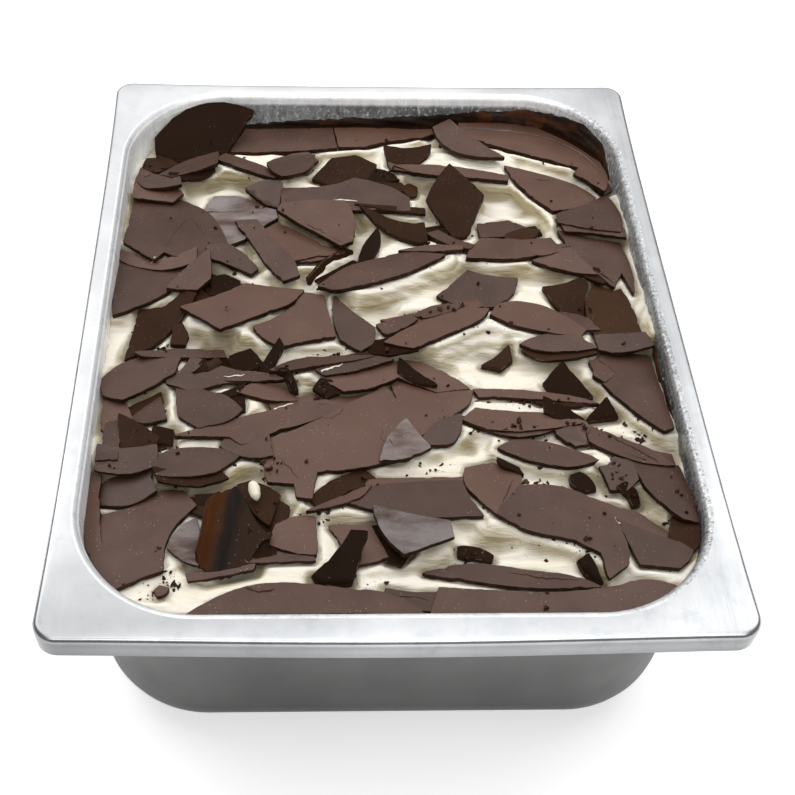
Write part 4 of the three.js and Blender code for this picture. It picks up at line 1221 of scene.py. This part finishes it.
def turned(corners, rng, tilt):
    turn = rng.uniform(0, 2 * np.pi)
    lean = rng.normal(0, tilt, 2)
    rows = Matrix.Rotation(turn, 3, "Z") @ Matrix.Rotation(lean[0], 3, "X") @ Matrix.Rotation(lean[1], 3, "Y")
    return corners @ np.array(rows).T


def make_crumbs(name, places, sizes, surface, rng, material, flatness, tilt):
    """One mesh of many crumbs that rest on whatever lies below them, and sink into gelato."""
    vertices, faces, count = [], [], 0
    x, y = places.T
    for place, z, plated, size in zip(places, surface.top(x, y), surface.plated(x, y), sizes):
        corners, made = chip(rng, size, flatness * rng.uniform(0.6, 1.3))
        lift = size * flatness * (0.8 if plated else 0.2)
        vertices.append(turned(corners, rng, tilt) + (*place, z + lift))
        faces += [tuple(count + i for i in face) for face in made]
        count += len(corners)
    mesh = outward(mesh_from(name, np.concatenate(vertices), faces))
    link(name, mesh, [material], smooth=False)


def edge_places(laid, rng, spacing, spread):
    """Random places along the plates' edges."""
    places = []
    for shape, _ in laid:
        for (x0, y0), (x1, y1) in sides(shape):
            length = math.hypot(x1 - x0, y1 - y0)
            for t in rng.uniform(0, 1, rng.poisson(length / spacing)):
                place_x = x0 + (x1 - x0) * t + rng.normal(0, spread)
                places.append((place_x, y0 + (y1 - y0) * t + rng.normal(0, spread)))
    return np.array(places)


def heap_places(rng, heaps, share):
    """A share of the places in each heap. A wide heap is spread evenly."""
    places = []
    for middle, spread, count in heaps:
        count = round(count * share)
        if spread[0] > WIDE_HEAP:
            axes = [rng.uniform(-reach, reach, count) for reach in spread]
        else:
            axes = [rng.normal(at, reach * 0.6, count) for at, reach in zip(middle, spread)]
        places.append(np.stack(axes, 1))
    return np.concatenate(places)


def crumb_places(surface, laid, rng, heaps, share, edges=None, on_plates=None):
    """Places in heaps, and along edges, given their spacing and spread. A share of those on plates stays."""
    places = heap_places(rng, heaps, share)
    if edges:
        places = np.concatenate([places, edge_places(laid, rng, *edges)])
    places = surface.within(places)
    if on_plates is None:
        return places
    return places[~surface.plated(*places.T) | (rng.uniform(0, 1, len(places)) < on_plates)]


# ---------------------------------------------------------------- ribbons


def add_ribbon(bm, line, width, lift, surface, rng):
    """A thin strip that follows a line over the plates, pointed at both ends."""
    line = np.asarray(line, float)
    lengths = np.concatenate([[0], np.cumsum(np.hypot(*np.diff(line, axis=0).T))])
    count = max(4, int(lengths[-1] / RIBBON_STEP))
    at = np.linspace(0, lengths[-1], count)
    middle = np.stack([np.interp(at, lengths, line[:, 0]), np.interp(at, lengths, line[:, 1])], 1)
    direction = unit(np.gradient(middle, axis=0))
    normal = np.stack([-direction[:, 1], direction[:, 0]], 1)
    plated = surface.plated(*middle.T)
    middle = middle + normal * (RIBBON_WANDER * soft_jitter(count, 2, rng))[:, None]
    pointed = np.sqrt(np.clip(np.sin(np.pi * at / lengths[-1]), 0.02, 1))
    half = width / 2 * pointed * rng.uniform(0.7, 1.3, count)
    rows = []
    for share in (-1, 0, 1):
        points = middle + normal * (half * share)[:, None]
        z = surface.top(*points.T) + lift * (1 - 0.8 * abs(share))
        rows.append([bm.verts.new(place * MM) for place in np.column_stack([points, z])])
    for first, second in zip(rows, rows[1:]):
        for i, corners in enumerate(strip(first, second)):
            if plated[i] and plated[i + 1]:
                bm.faces.new(corners)


def make_ribbons(name, lines, surface, rng, material, lift):
    """Ribbons along lines, joined in one mesh."""
    bm = bmesh.new()
    for line, width in lines:
        add_ribbon(bm, [(x, y + SHIFT_Y) for x, y in line], width, lift, surface, rng)
    bmesh.ops.delete(bm, geom=[v for v in bm.verts if not v.link_faces], context="VERTS")
    bmesh.ops.recalc_face_normals(bm, faces=bm.faces)
    link(name, mesh_of(name, bm), [material])


# ---------------------------------------------------------------- wall film


def wall_point(distance, depth):
    """A place `depth` into the pan from the wall, `distance` along it from FILM_START, seen from above."""
    straight_x = RIM_WIDTH / 2 - WALL_INSET - WALL_CORNER
    straight_y = RIM_LENGTH / 2 - WALL_INSET - WALL_CORNER
    reach = WALL_CORNER - depth
    back = straight_x - FILM_START
    arc = WALL_CORNER * math.pi / 2
    run = distance - back - arc
    if distance < back:
        return FILM_START + distance, straight_y + reach
    if run < 0:
        angle = math.pi / 2 - (distance - back) / WALL_CORNER
        return straight_x + reach * math.cos(angle), straight_y + reach * math.sin(angle)
    if run < 2 * straight_y:
        return straight_x + reach, straight_y - run
    angle = -(run - 2 * straight_y) / WALL_CORNER
    return straight_x + reach * math.cos(angle), -straight_y + reach * math.sin(angle)


def make_wall_film(material):
    """A skin of chocolate on the inner wall, from the back left round to the front right."""
    stations, tops = np.array(WALL_FILM, float).T
    at = np.arange(0, stations[-1], FILM_STEP)
    top = np.interp(at, stations, tops)
    top = top + 0.7 * value_noise(at / 7, at * 0, SEED + 41) + 0.5 * value_noise(at / 2.2, at * 0, SEED + 42)
    top[0] = top[-1] = FILM_END_HEIGHT
    vertices = []
    for distance, high in zip(at, top):
        for share in np.linspace(0, 1, FILM_ROWS):
            z = FILM_FOOT + (high - FILM_FOOT) * share
            lean = WALL_DRAFT * (PAN_DEPTH - ROLL_RADIUS - z) / (PAN_DEPTH - ROLL_RADIUS - BOTTOM_FILLET)
            depth = FILM_DEPTH + FILM_SWELL * math.sin(distance * 0.21 + z)
            x, y = wall_point(distance, lean + depth * math.sqrt(1 - share**6) - INTO_STEEL)
            vertices.append((x, y + SHIFT_Y, z))
    rows = numbered(0, len(at), FILM_ROWS)
    faces = [face for first, second in zip(rows, rows[1:]) for face in strip(first, second)]
    link("wall_film", mesh_from("wall_film", vertices, faces), [material])


# ---------------------------------------------------------------- curl and drops


def curl_point(distance, along, depth):
    """A point of the curl before it is stood on its foot, `depth` below its outer skin."""
    wobble = 0.5 * math.sin(along * 0.16 + distance * 0.1) * (1 - min(1, distance / 16))
    radius = CURL_RADIUS - depth
    turn = math.radians(CURL_FROM) + distance / CURL_RADIUS
    angle = min(turn, math.radians(CURL_TO))
    run = (turn - angle) * CURL_RADIUS  # past the bend, where it goes on straight
    x = radius * math.cos(angle) - run * math.sin(angle)
    z = CURL_RADIUS + radius * math.sin(angle) + run * math.cos(angle)
    return Vector((x + wobble, along, z))


def make_curl(material, edge_material, pale_material, rng):
    """A plate bent up along its left side, closed all round, with a pale broken rim at its upper right."""
    columns = np.linspace(0, CURL_ENDS[-1][0], CURL_COLUMNS)
    stations, starts, ends = np.array(CURL_ENDS, float).T
    start = np.interp(columns, stations, starts) + 0.5 * soft_jitter(CURL_COLUMNS, 2, rng)
    end = np.interp(columns, stations, ends) + 0.4 * soft_jitter(CURL_COLUMNS, 2, rng)
    points = []
    for skin in (0, CURL_SKIN):
        for distance, low, high in zip(columns, start, end):
            depth = skin * min(1, 0.35 + distance / 6)
            for step in range(CURL_ROWS + 1):
                points.append(curl_point(distance, low + (high - low) * step / CURL_ROWS, depth))
    layer = len(points) // 2
    outer, inner = numbered(0, CURL_COLUMNS, CURL_ROWS + 1), numbered(layer, CURL_COLUMNS, CURL_ROWS + 1)
    faces = []
    for i in range(CURL_COLUMNS - 1):
        faces += strip(outer[i], outer[i + 1]) + strip(inner[i], inner[i + 1])
    skins = len(faces)
    for j in (0, CURL_ROWS):
        faces += strip([row[j] for row in outer], [row[j] for row in inner])
    for i in (0, -1):
        faces += strip(outer[i], inner[i])
    bent = len(faces)
    first = np.searchsorted(columns, CURL_RIM_START, "right")
    rim = numbered(len(points), CURL_COLUMNS - first, 3)
    for distance, high in zip(columns[first:], end[first:]):
        points += [curl_point(distance, high - back, -lift) for back, lift in CURL_RIM]
    for one, other in zip(rim, rim[1:]):
        faces += strip(one, other)
    stand = (
        Matrix.Translation(Vector(CURL_FOOT) + Vector((0, SHIFT_Y, 0)))
        @ Matrix.Rotation(math.atan(CURL_SLOPE), 4, "X")
        @ Matrix.Rotation(math.radians(CURL_TURN), 4, "Z")
    )
    mesh = outward(mesh_from("plate_curl", [stand @ point for point in points], faces))
    curl = link("plate_curl", mesh, [material, edge_material, pale_material], sharp=50)
    kinds = [0 if i < skins else 1 if i < bent else 2 for i in range(len(mesh.polygons))]
    mesh.polygons.foreach_set("material_index", kinds)
    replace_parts(curl, "shard_curl")


def make_drops(material):
    """Drops of gelato flung on the chocolate."""
    bm = bmesh.new()
    for foot, reach, turn in DROPS:
        made = bmesh.ops.create_icosphere(bm, subdivisions=4, radius=1)["verts"]
        for v in made:
            x, y, z = v.co
            swell = 1 + 0.05 * math.sin(4 * x + 2 * y + turn) + 0.03 * math.sin(9 * y)
            v.co = (x * reach[0] * swell * (1 + 0.12 * y), y * reach[1], z * reach[2] * swell)
        lean = Matrix.Rotation(0.25, 4, "X") @ Matrix.Rotation(math.radians(turn), 4, "Z")
        bmesh.ops.transform(bm, matrix=Matrix.Scale(MM, 4) @ Matrix.Translation(foot) @ lean, verts=made)
    link("gelato_drops", mesh_of("gelato_drops", bm), [material])


# ---------------------------------------------------------------- materials


class Look:
    """A material in the making: tints are laid over its colour one by one, and reliefs over its surface.

    Noise counts its waves per metre, and a relief's distance is in metres.
    """

    def __init__(self, name, colour=None, **values):
        self.material = bpy.data.materials.new(name)
        self.material.use_nodes = True
        self.tree = self.material.node_tree
        self.shader = self.tree.nodes["Principled BSDF"]
        self.object = self.node("ShaderNodeTexCoord").outputs["Object"]
        self.colour = colour
        self.normal = None
        self.set(**values)

    def set(self, **values):
        """Sets the shader's sockets, by the short names in SOCKETS."""
        for name, value in values.items():
            self.feed(self.shader.inputs[SOCKETS[name]], value)

    def node(self, kind, inputs=(), **settings):
        made = self.tree.nodes.new(kind)
        for key, value in settings.items():
            setattr(made, key, value)
        for socket, value in dict(inputs).items():
            self.feed(made.inputs[socket], value)
        return made

    def feed(self, socket, value):
        """Sets a socket to a constant, or links it to another."""
        if isinstance(value, bpy.types.NodeSocket):
            self.tree.links.new(value, socket)
        else:
            socket.default_value = (*value, 1) if socket.type == "RGBA" else value

    def noise(self, scale, detail=3.0, stretch=(1, 1, 1), rough=0.55):
        place = self.node("ShaderNodeMapping", {"Vector": self.object, "Scale": stretch}).outputs["Vector"]
        inputs = {"Vector": place, "Scale": scale, "Detail": detail, "Roughness": rough}
        return self.node("ShaderNodeTexNoise", inputs).outputs["Fac"]

    def ramp(self, value, *stops):
        """The value, or the colour, that the stops give."""
        made = self.node("ShaderNodeValToRGB", {"Fac": value})
        elements = made.color_ramp.elements
        while len(elements) < len(stops):
            elements.new(0.5)
        for element, (position, colour) in zip(elements, stops):
            element.position = position
            element.color = (*colour, 1) if isinstance(colour, tuple) else (colour, colour, colour, 1)
        return made.outputs["Color"]

    def patches(self, noise, *stops):
        """The stops, spread over the surface by noise."""
        return self.ramp(self.noise(*noise), *stops)

    def across(self, axis, low, high, *stops):
        """The stops, spread along an axis from low to high. Without stops, it goes from 0 to 1."""
        parts = self.node("ShaderNodeSeparateXYZ", {0: self.object})
        inputs = {"Value": parts.outputs[axis], "From Min": low * MM, "From Max": high * MM}
        share = self.node("ShaderNodeMapRange", inputs).outputs["Result"]
        return self.ramp(share, *stops) if stops else share

    def specks(self, scale, size):
        """A mask of small round specks."""
        cells = self.node("ShaderNodeTexVoronoi", {"Vector": self.object, "Scale": scale})
        return self.ramp(cells.outputs["Distance"], (size * 0.6, 1.0), (size, 0.0))

    def attribute(self, name, *stops):
        return self.ramp(self.node("ShaderNodeAttribute", attribute_name=name).outputs["Fac"], *stops)

    def sum_up(self, operation, *values):
        """Values joined by one operation, such as a product of masks."""
        total = values[0]
        for value in values[1:]:
            total = self.node("ShaderNodeMath", {0: total, 1: value}, operation=operation).outputs[0]
        return total

    def mix(self, mask, first, second):
        inputs = {MIX_FACTOR: mask, MIX_FIRST: first, MIX_SECOND: second}
        return self.node("ShaderNodeMix", inputs, data_type="RGBA").outputs[MIX_RESULT]

    def tint(self, colour, *masks):
        """Lays a colour over what is there, where all of the masks let it through."""
        self.colour = self.mix(self.sum_up("MULTIPLY", *masks), self.colour, colour)

    def relief(self, strength, distance, *noise):
        inputs = {"Strength": strength, "Distance": distance, "Height": self.noise(*noise)}
        if self.normal is not None:
            inputs["Normal"] = self.normal
        self.normal = self.node("ShaderNodeBump", inputs).outputs["Normal"]

    def done(self, **values):
        if self.normal is not None:
            self.set(normal=self.normal)
        self.set(colour=self.colour, **values)
        return self.material


def brighter(colour, times):
    return tuple(times * part for part in colour)


def chocolate_face(name, base, pale, rough, sheen, dust, bloom):
    """A plate's face: clouded chocolate with fine pale dust, and with fat bloom where asked."""
    look = Look(name, base, sheen=sheen)
    look.tint(pale, look.patches((55, 4), (0.35, 0.0), (0.7, 1.0)))
    look.tint(brighter(pale, 1.5), look.patches((900, 3), (0.55, 0.0), (0.8, 0.3 * dust)))
    if bloom:
        streaks = look.patches((38, 6, (1.0, 2.6, 1.0), 0.62), (0.36, 0.0), (0.62, bloom))
        look.tint((0.42, 0.39, 0.38), streaks)
    dusty = look.patches((120, 2), (0.52, 0.0), (0.60, dust))
    look.tint((0.36, 0.27, 0.22), look.specks(620, 0.16), dusty)
    look.tint(brighter(pale, 1.9), look.attribute("tone", (0.45, 0.0), (1.0, 0.36)))
    look.tint((0.02, 0.005, 0.0), look.attribute("tone", (0.0, 0.36), (0.45, 0.0)))
    look.relief(0.3, 0.0012, 45, 3)
    look.relief(0.25, 0.00025, 260, 4)
    look.relief(0.15, 0.00006, 1500, 2)
    return look.done(rough=look.patches((70, 4), (0.3, rough - 0.05), (0.75, rough + 0.09)))


def chocolate_break(name):
    """A broken edge: dark and layered, pale where it crumbled."""
    look = Look(name, rough=0.5, sheen=0.11)
    layers = (0.3, (0.020, 0.008, 0.003)), (0.6, (0.043, 0.019, 0.009)), (0.82, (0.12, 0.06, 0.036))
    look.colour = look.patches((330, 5, (1, 1, 4.0)), *layers)
    look.relief(0.5, 0.00018, 800, 4)
    return look.done()


def gelato_material(name, steep_shade):
    """Cream with painted shade, darker and warmer on steep faces and in recesses, with dark flecks of
    chocolate in it.
    """
    look = Look(name, (0.87, 0.802, 0.655), rough=0.5, sheen=0.35, soft=0.25, soft_size=0.003)
    look.set(soft_reach=(1.0, 0.75, 0.32))
    look.tint((0.91, 0.862, 0.79), look.patches((60, 4, (0.35, 1.6, 1.0)), (0.3, 0.0), (0.75, 1.0)))
    facing = look.node("ShaderNodeSeparateXYZ", {0: look.node("ShaderNodeNewGeometry").outputs["Normal"]})
    # painted shade: steep faces turn a darker, warmer cream
    look.tint((0.48, 0.395, 0.225), look.ramp(facing.outputs["Z"], (0.6, steep_shade), (0.95, 0.0)))
    # painted shade in the recesses
    look.tint((0.29, 0.235, 0.14), look.attribute("hollow_shade", (0.18, 0.0), (0.8, 0.9)))
    look.tint((0.10, 0.06, 0.04), look.specks(700, 0.11), look.patches((150, 2), (0.60, 0.0), (0.66, 0.6)))
    look.relief(0.8, 0.0011, 300, 5, (0.35, 1.5, 1.5))
    look.relief(0.5, 0.0016, 90, 4, (0.4, 1.0, 6.0))
    look.relief(0.35, 0.0002, 1400, 3)
    return look.done()


def curl_material(name):
    """Dark gloss, black in the bend with a painted shadow, and orange brown with painted light where it is
    thin at the free edge.
    """
    look = Look(name, rough=0.45, sheen=0.06)
    turn = math.radians(-CURL_TURN)
    turned_place = look.node("ShaderNodeMapping", {"Vector": look.object, "Rotation": (0, 0, turn)})
    parts = look.node("ShaderNodeSeparateXYZ", {0: turned_place.outputs["Vector"]})
    foot = Matrix.Rotation(turn, 3, "Z") @ Vector((CURL_FOOT[0], CURL_FOOT[1] + SHIFT_Y, 0)) * MM
    low, high = (foot.x + place * MM for place in CURL_PAINTED_GLOW)
    inputs = {"Value": parts.outputs["X"], "From Min": low, "From Max": high}
    share = look.node("ShaderNodeMapRange", inputs).outputs["Result"]
    inputs = {0: look.noise(90, 4), 1: 0.22, 2: share}
    wandering = look.node("ShaderNodeMath", inputs, operation="MULTIPLY_ADD").outputs[0]
    # painted light: orange brown at the free edge; painted shadow: near black in the bend
    look.colour = look.ramp(
        wandering, (0.20, (0.105, 0.034, 0.010)), (0.40, (0.060, 0.020, 0.007)),
        (0.50, (0.012, 0.006, 0.003)), (0.62, (0.006, 0.0035, 0.002)), (0.80, (0.024, 0.011, 0.005)),
    )
    look.tint((0.030, 0.018, 0.011), look.patches((120, 4, (3, 0.5, 1)), (0.45, 0.0), (0.75, 0.3)))
    look.tint((0.30, 0.24, 0.19), look.specks(620, 0.16), look.patches((100, 2), (0.50, 0.0), (0.58, 0.8)))
    look.relief(0.4, 0.0010, 60, 4)
    look.relief(0.3, 0.0003, 300, 4)
    return look.done()


def film_material():
    """Chocolate run thin over steel: glossy, near black, orange brown where it is thinnest."""
    look = Look("chocolate_film", rough=0.35, sheen=0.4)
    look.colour = look.patches(
        (45, 5, (1, 1, 2.5)), (0.32, (0.012, 0.007, 0.005)), (0.56, (0.028, 0.015, 0.010)),
        (0.66, (0.10, 0.035, 0.012)), (0.78, (0.045, 0.028, 0.020)),
    )
    look.tint((0.12, 0.10, 0.09), look.patches((160, 5, (0.5, 0.5, 2)), (0.52, 0.0), (0.75, 0.55)))
    thin = look.across("X", 45, 115, (0.0, 0.0), (0.25, 1.0), (0.65, 1.0), (1.0, 0.15))
    look.tint((0.15, 0.050, 0.016), thin, look.patches((110, 4, (1, 1, 1.6)), (0.46, 0.0), (0.60, 0.85)))
    look.relief(0.5, 0.0006, 140, 4)
    return look.done()


def rim_steel():
    """Satin steel: cloudy and scuffed on top, with painted highlights at the back and on the left, painted
    shade toward the front corners, and painted shade on the lip that turns down.
    """
    look = Look("steel_satin", metal=0.92)
    look.colour = look.patches((24, 6, (1, 1, 1), 0.6), (0.3, (0.44, 0.45, 0.465)), (0.7, (0.60, 0.61, 0.62)))
    look.tint((0.34, 0.36, 0.38), look.patches((70, 6, (1, 1, 1), 0.7), (0.54, 0.0), (0.72, 0.5)))
    flanges = look.across("X", *RIM_X, (0.0, 0.03), (0.2, 0.0), (0.9, 0.0), (0.97, 0.22))
    look.tint(NOTHING, flanges, look.patches((90, 5, (2.5, 0.06, 1), 0.7), (0.35, 1.0), (0.62, 0.3)))
    # painted shade at the front, most at the left corner
    front = look.across("Y", *RIM_FRONT, (0.0, 1.0), (1.0, 0.0))
    ends = (0.0, 0.45), (0.18, 0.30), (0.5, 0.02), (0.62, 0.05), (0.8, 0.17), (1.0, 0.17)
    look.tint(NOTHING, front, look.across("X", *RIM_X, *ends))
    # painted highlight on the back flange
    middle = look.across("X", RIM_X[0], 80, (0.0, 0.14), (0.3, 0.24), (0.8, 0.3), (1.0, 0.03))
    look.tint(WHITE, look.across("Y", *RIM_BACK), middle)
    # painted highlight on the left flange
    left = look.across("X", RIM_X[0], -100, (0.0, 0.2), (0.6, 0.2), (1.0, 0.0))
    look.tint(WHITE, left, look.across("Y", -140, 150, (0.0, 0.0), (0.3, 1.0), (1.0, 0.4)))
    # painted shade: the lip turns darker below its bend
    lip = look.across("Z", 89, 98.5, (0.0, 0.6), (0.5, 0.72), (0.85, 0.62), (1.0, 1.0))
    look.colour = look.mix(lip, NOTHING, look.colour)
    flat = look.across("Z", 97, PAN_DEPTH, (0.0, 0.10), (0.85, 0.14), (1.0, 0.26))
    inputs = {0: look.noise(30, 4), 1: 0.12, 2: flat}
    worn = look.node("ShaderNodeMath", inputs, operation="MULTIPLY_ADD").outputs[0]
    look.relief(0.16, 0.0009, 40, 5, (4, 1, 1))
    look.relief(0.12, 0.00008, 900, 3)
    return look.done(rough=worn)


def body_steel():
    """The outer walls below the rim: rougher steel, dark all over with a painted dark reflection, and darker
    toward the bottom with painted shade.
    """
    look = Look("steel_rough_painted_shade", metal=1.0)
    cloud = look.patches((14, 4, (1, 1, 0.4)), (0.3, (0.112, 0.115, 0.111)), (0.7, (0.166, 0.169, 0.163)))
    # painted shade, darker toward the bottom
    shade = look.across("Z", 0, 90, (0.0, 0.72), (0.1, 0.5), (0.4, 0.66), (0.7, 0.9), (1.0, 1.0))
    look.colour = look.mix(shade, NOTHING, cloud)
    look.relief(0.08, 0.0003, 200, 4, (0.3, 0.3, 3))
    return look.done(rough=look.patches((40, 4), (0.3, 0.42), (0.7, 0.52)))


def inner_steel():
    """Steel with a painted highlight that whitens the roll and the top of the wall, pale on the left, mottled
    at the back, and with painted reflections at the right.
    """
    look = Look("steel_inner_painted_highlight")
    right = look.across("X", 75, 118)
    far_right = look.sum_up("MULTIPLY", right, look.across("Y", -20, 50))
    # painted highlight: the top of the wall and the roll turn white
    height = look.across("Z", 90, 96.5, (0.0, 0.0), (0.45, 0.12), (0.56, 0.42), (0.77, 1.0))
    highlight_and_pale = look.sum_up("MAXIMUM", height, look.across("X", -120, 50, (0.0, 1.0), (0.25, 0.35), (1.0, 0.0)))
    bare = look.ramp(highlight_and_pale, (0.0, 1.0), (1.0, 0.15))
    # the bare wall, with streaks of painted reflection at the far right
    mottle = look.noise(60, 7, (1, 1, 0.4), 0.7)
    steel = (0.3, (0.055, 0.060, 0.061)), (0.5, (0.105, 0.113, 0.115)), (0.7, (0.21, 0.222, 0.226))
    look.colour = look.ramp(mottle, *steel)
    streaks = (0.35, (0.34, 0.35, 0.355)), (0.6, (0.72, 0.73, 0.74))
    look.tint(look.patches((60, 6, (1, 0.3, 2), 0.7), *streaks), far_right)
    # the painted highlight and the pale left, greyer at the right and toward both ends
    pale = look.ramp(mottle, (0.3, (0.74, 0.75, 0.76)), (0.7, (0.93, 0.93, 0.93)))
    greyed = look.patches((45, 5, (1, 0.2, 1), 0.65), (0.35, (0.30, 0.31, 0.32)), (0.65, (0.52, 0.53, 0.54)))
    ends = look.across("Y", RIM_FRONT[0], RIM_BACK[1], (0.0, 0.55), (0.113, 0.0), (0.887, 0.0), (1.0, 0.35))
    look.tint(look.mix(look.sum_up("MAXIMUM", right, ends), pale, greyed), highlight_and_pale)
    # painted reflections at the right: darker patches, mostly low on the wall, dark specks and bright glints
    painted_reflections = look.patches((70, 5, (1, 0.25, 2)), (0.42, 0.0), (0.60, 0.8))
    low = look.ramp(height, (0.0, 1.0), (1.0, 0.25))
    look.tint((0.13, 0.125, 0.12), low, look.ramp(far_right, (0.0, 1.0), (1.0, 0.35)), right, painted_reflections)
    look.tint((0.04, 0.035, 0.03), right, look.patches((800, 3, (1, 1, 0.6), 0.7), (0.50, 0.0), (0.62, 0.7)))
    look.tint((0.85, 0.86, 0.87), right, look.patches((700, 3, (1, 1, 0.5), 0.7), (0.56, 0.0), (0.66, 0.8)))
    # mottling and crystals where it is bare
    look.tint((0.08, 0.085, 0.08), look.patches((420, 5, (1, 1, 0.45), 0.7), (0.40, 0.8), (0.56, 0.0)), bare)
    look.tint((0.80, 0.84, 0.84), look.patches((560, 4, (1, 1, 0.6), 0.7), (0.54, 0.0), (0.66, 0.8)), bare)
    # a painted dark reflection: the thin dark line where the roll meets the rim at the far left
    edge = look.across("Z", 98, PAN_DEPTH, (0.25, 0.0), (0.55, 0.75), (0.9, 0.75), (1.0, 0.2))
    look.tint((0.16, 0.165, 0.17), edge, look.across("X", -125, -85, (0.0, 1.0), (1.0, 0.0)))
    look.relief(0.4, 0.0004, 300, 4, (1, 1, 0.25))
    metal_under_pale = look.ramp(highlight_and_pale, (0.0, 0.38), (1.0, 0.12))
    metal = look.mix(right, metal_under_pale, look.ramp(far_right, (0.0, 0.55), (1.0, 0.2)))
    return look.done(rough=look.ramp(mottle, (0.3, 0.2), (0.7, 0.42)), metal=metal)


def floor_material():
    """White paper, lit a little from below as on a light table."""
    look = Look("floor_paper", rough=0.9, light=0.58)
    look.colour = look.patches((8, 2), (0.3, (0.91, 0.91, 0.91)), (0.7, (0.94, 0.94, 0.94)))
    return look.done(light_colour=look.colour)


# ---------------------------------------------------------------- set


def make_floor():
    corners = [(x * FLOOR_HALF, y * FLOOR_HALF, 0) for x, y in ((-1, -1), (1, -1), (1, 1), (-1, 1))]
    mesh = mesh_from("floor", corners, [(0, 1, 2, 3)])
    mesh.materials.append(floor_material())
    in_scene("floor", mesh)


def area_light(name, position, target, size, energy):
    light = bpy.data.lights.new(name, "AREA")
    light.shape = "RECTANGLE"
    light.size, light.size_y = size
    light.energy = energy
    obj = in_scene(name, light)
    obj.location = position
    obj.rotation_euler = (Vector(target) - Vector(position)).to_track_quat("-Z", "Y").to_euler()
    return obj


def make_lights(pan):
    """A soft studio. "roll" shows only as gloss, and "wall" lights the pan alone and adds no gloss."""
    scene = bpy.context.scene
    scene.world = bpy.data.worlds.new("studio")
    scene.world.use_nodes = True
    sky = scene.world.node_tree.nodes["Background"].inputs
    sky["Color"].default_value = (1, 1, 1, 1)
    sky["Strength"].default_value = SKY_STRENGTH
    scene.view_settings.view_transform = "Standard"
    lamps = {name: area_light(name, *values) for name, *values in LIGHTS}
    lamps["roll"].visible_diffuse = False
    lamps["wall"].visible_glossy = False
    steel_only = bpy.data.collections.new("steel_only")
    steel_only.objects.link(pan)
    lamps["wall"].light_linking.receiver_collection = steel_only


def make_camera():
    azimuth, elevation, roll = (math.radians(a) for a in (CAMERA_AZIMUTH, CAMERA_ELEVATION, CAMERA_ROLL))
    level = math.cos(elevation)
    back = Vector((math.sin(azimuth) * level, -math.cos(azimuth) * level, math.sin(elevation)))
    right = (-back).cross(Vector((0, 0, 1))).normalized()
    up = right.cross(-back)
    rolled_right = right * math.cos(roll) + up * math.sin(roll)
    rolled_up = up * math.cos(roll) - right * math.sin(roll)
    data = bpy.data.cameras.new("camera")
    data.sensor_width = SENSOR
    data.lens = LENS
    data.shift_x, data.shift_y = LENS_SHIFT
    data.clip_start = 0.01
    camera = in_scene("camera", data)
    turn = Matrix((rolled_right, rolled_up, back)).transposed().to_4x4()
    place = (Vector(CAMERA_TARGET) + back * CAMERA_DISTANCE) * MM
    camera.matrix_world = Matrix.Translation(place) @ turn
    bpy.context.scene.camera = camera


# ---------------------------------------------------------------- the whole

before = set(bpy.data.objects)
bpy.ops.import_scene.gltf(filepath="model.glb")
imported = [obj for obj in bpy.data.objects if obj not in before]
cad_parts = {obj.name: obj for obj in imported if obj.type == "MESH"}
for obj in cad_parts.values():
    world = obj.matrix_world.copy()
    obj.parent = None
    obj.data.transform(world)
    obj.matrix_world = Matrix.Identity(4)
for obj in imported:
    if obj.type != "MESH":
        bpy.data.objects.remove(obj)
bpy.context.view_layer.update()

make_camera()
make_floor()
make_lights(make_pan(rim_steel(), inner_steel(), body_steel()))

cream = gelato_material("gelato_cream", 1.0)
broken = chocolate_break("chocolate_break")
skins = {kind: chocolate_face(f"chocolate_{kind}", *values) for kind, *values in FACES}
all_skins = [skins["face"], broken, skins["worn"], skins["dark"], skins["black"], skins["bloom"]]

rng = np.random.default_rng(SEED)
laid = lay_plates(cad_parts, skins, broken, rng)
low = []
low_bits = bmesh.new()
lay_bits(low_bits, LOW_BITS, low, LOW_SEED, rng, LOW_THICKNESS, LOW_LIFT)
finish_plate("low_shards", low_bits, all_skins)
bits = bmesh.new()
lay_bits(bits, BITS, laid, BITS_SEED, rng)
add_tipped(bits, NARROW, NARROW_FOOT, NARROW_ALONG, NARROW_UP, rng, SKINS["dark"])
finish_plate("small_shards", bits, all_skins)

make_curl(curl_material("chocolate_curl"), broken, skins["flake"], rng)
curl_level = CURL_FOOT[2] + CURL_SLOPE * (-CURL_FOOT[1] - SHIFT_Y) + SHARD_THICKNESS
surface = make_gelato([*low, *laid], (placed(CURL_OUTLINE), (curl_level, 0, CURL_SLOPE)), cream)
make_drops(gelato_material("gelato_drop", 0.1))

make_ribbons("cracks", CRACKS, surface, rng, broken, lift=0.12)
make_ribbons("gelato_threads", THREADS, surface, rng, cream, lift=0.6)
make_ribbons("glints", GLINTS, surface, rng, skins["bloom"], lift=0.5)
places = crumb_places(surface, laid, rng, CRUMB_HEAPS, share=0.4, edges=(16, 0.8), on_plates=0.5)
sizes = CRUMB_SIZES[0] + CRUMB_SIZES[1] * rng.uniform(0, 1, len(places)) ** CRUMB_POWER
make_crumbs("crumbs", places, sizes, surface, rng, broken, flatness=0.45, tilt=0.5)
places = crumb_places(surface, laid, rng, CHUNK_HEAPS, share=0.55, on_plates=0.35)
sizes = rng.uniform(*CHIP_SIZES, len(places))
make_crumbs("chips", places, sizes, surface, rng, broken, flatness=0.28, tilt=0.5)
places = crumb_places(surface, laid, rng, CRUMB_HEAPS, share=0.5, edges=(12, 1.4))
sizes = rng.uniform(*FLAKE_SIZES, len(places))
make_crumbs("flakes", places, sizes, surface, rng, skins["flake"], flatness=0.22, tilt=0.3)
make_wall_film(film_material())
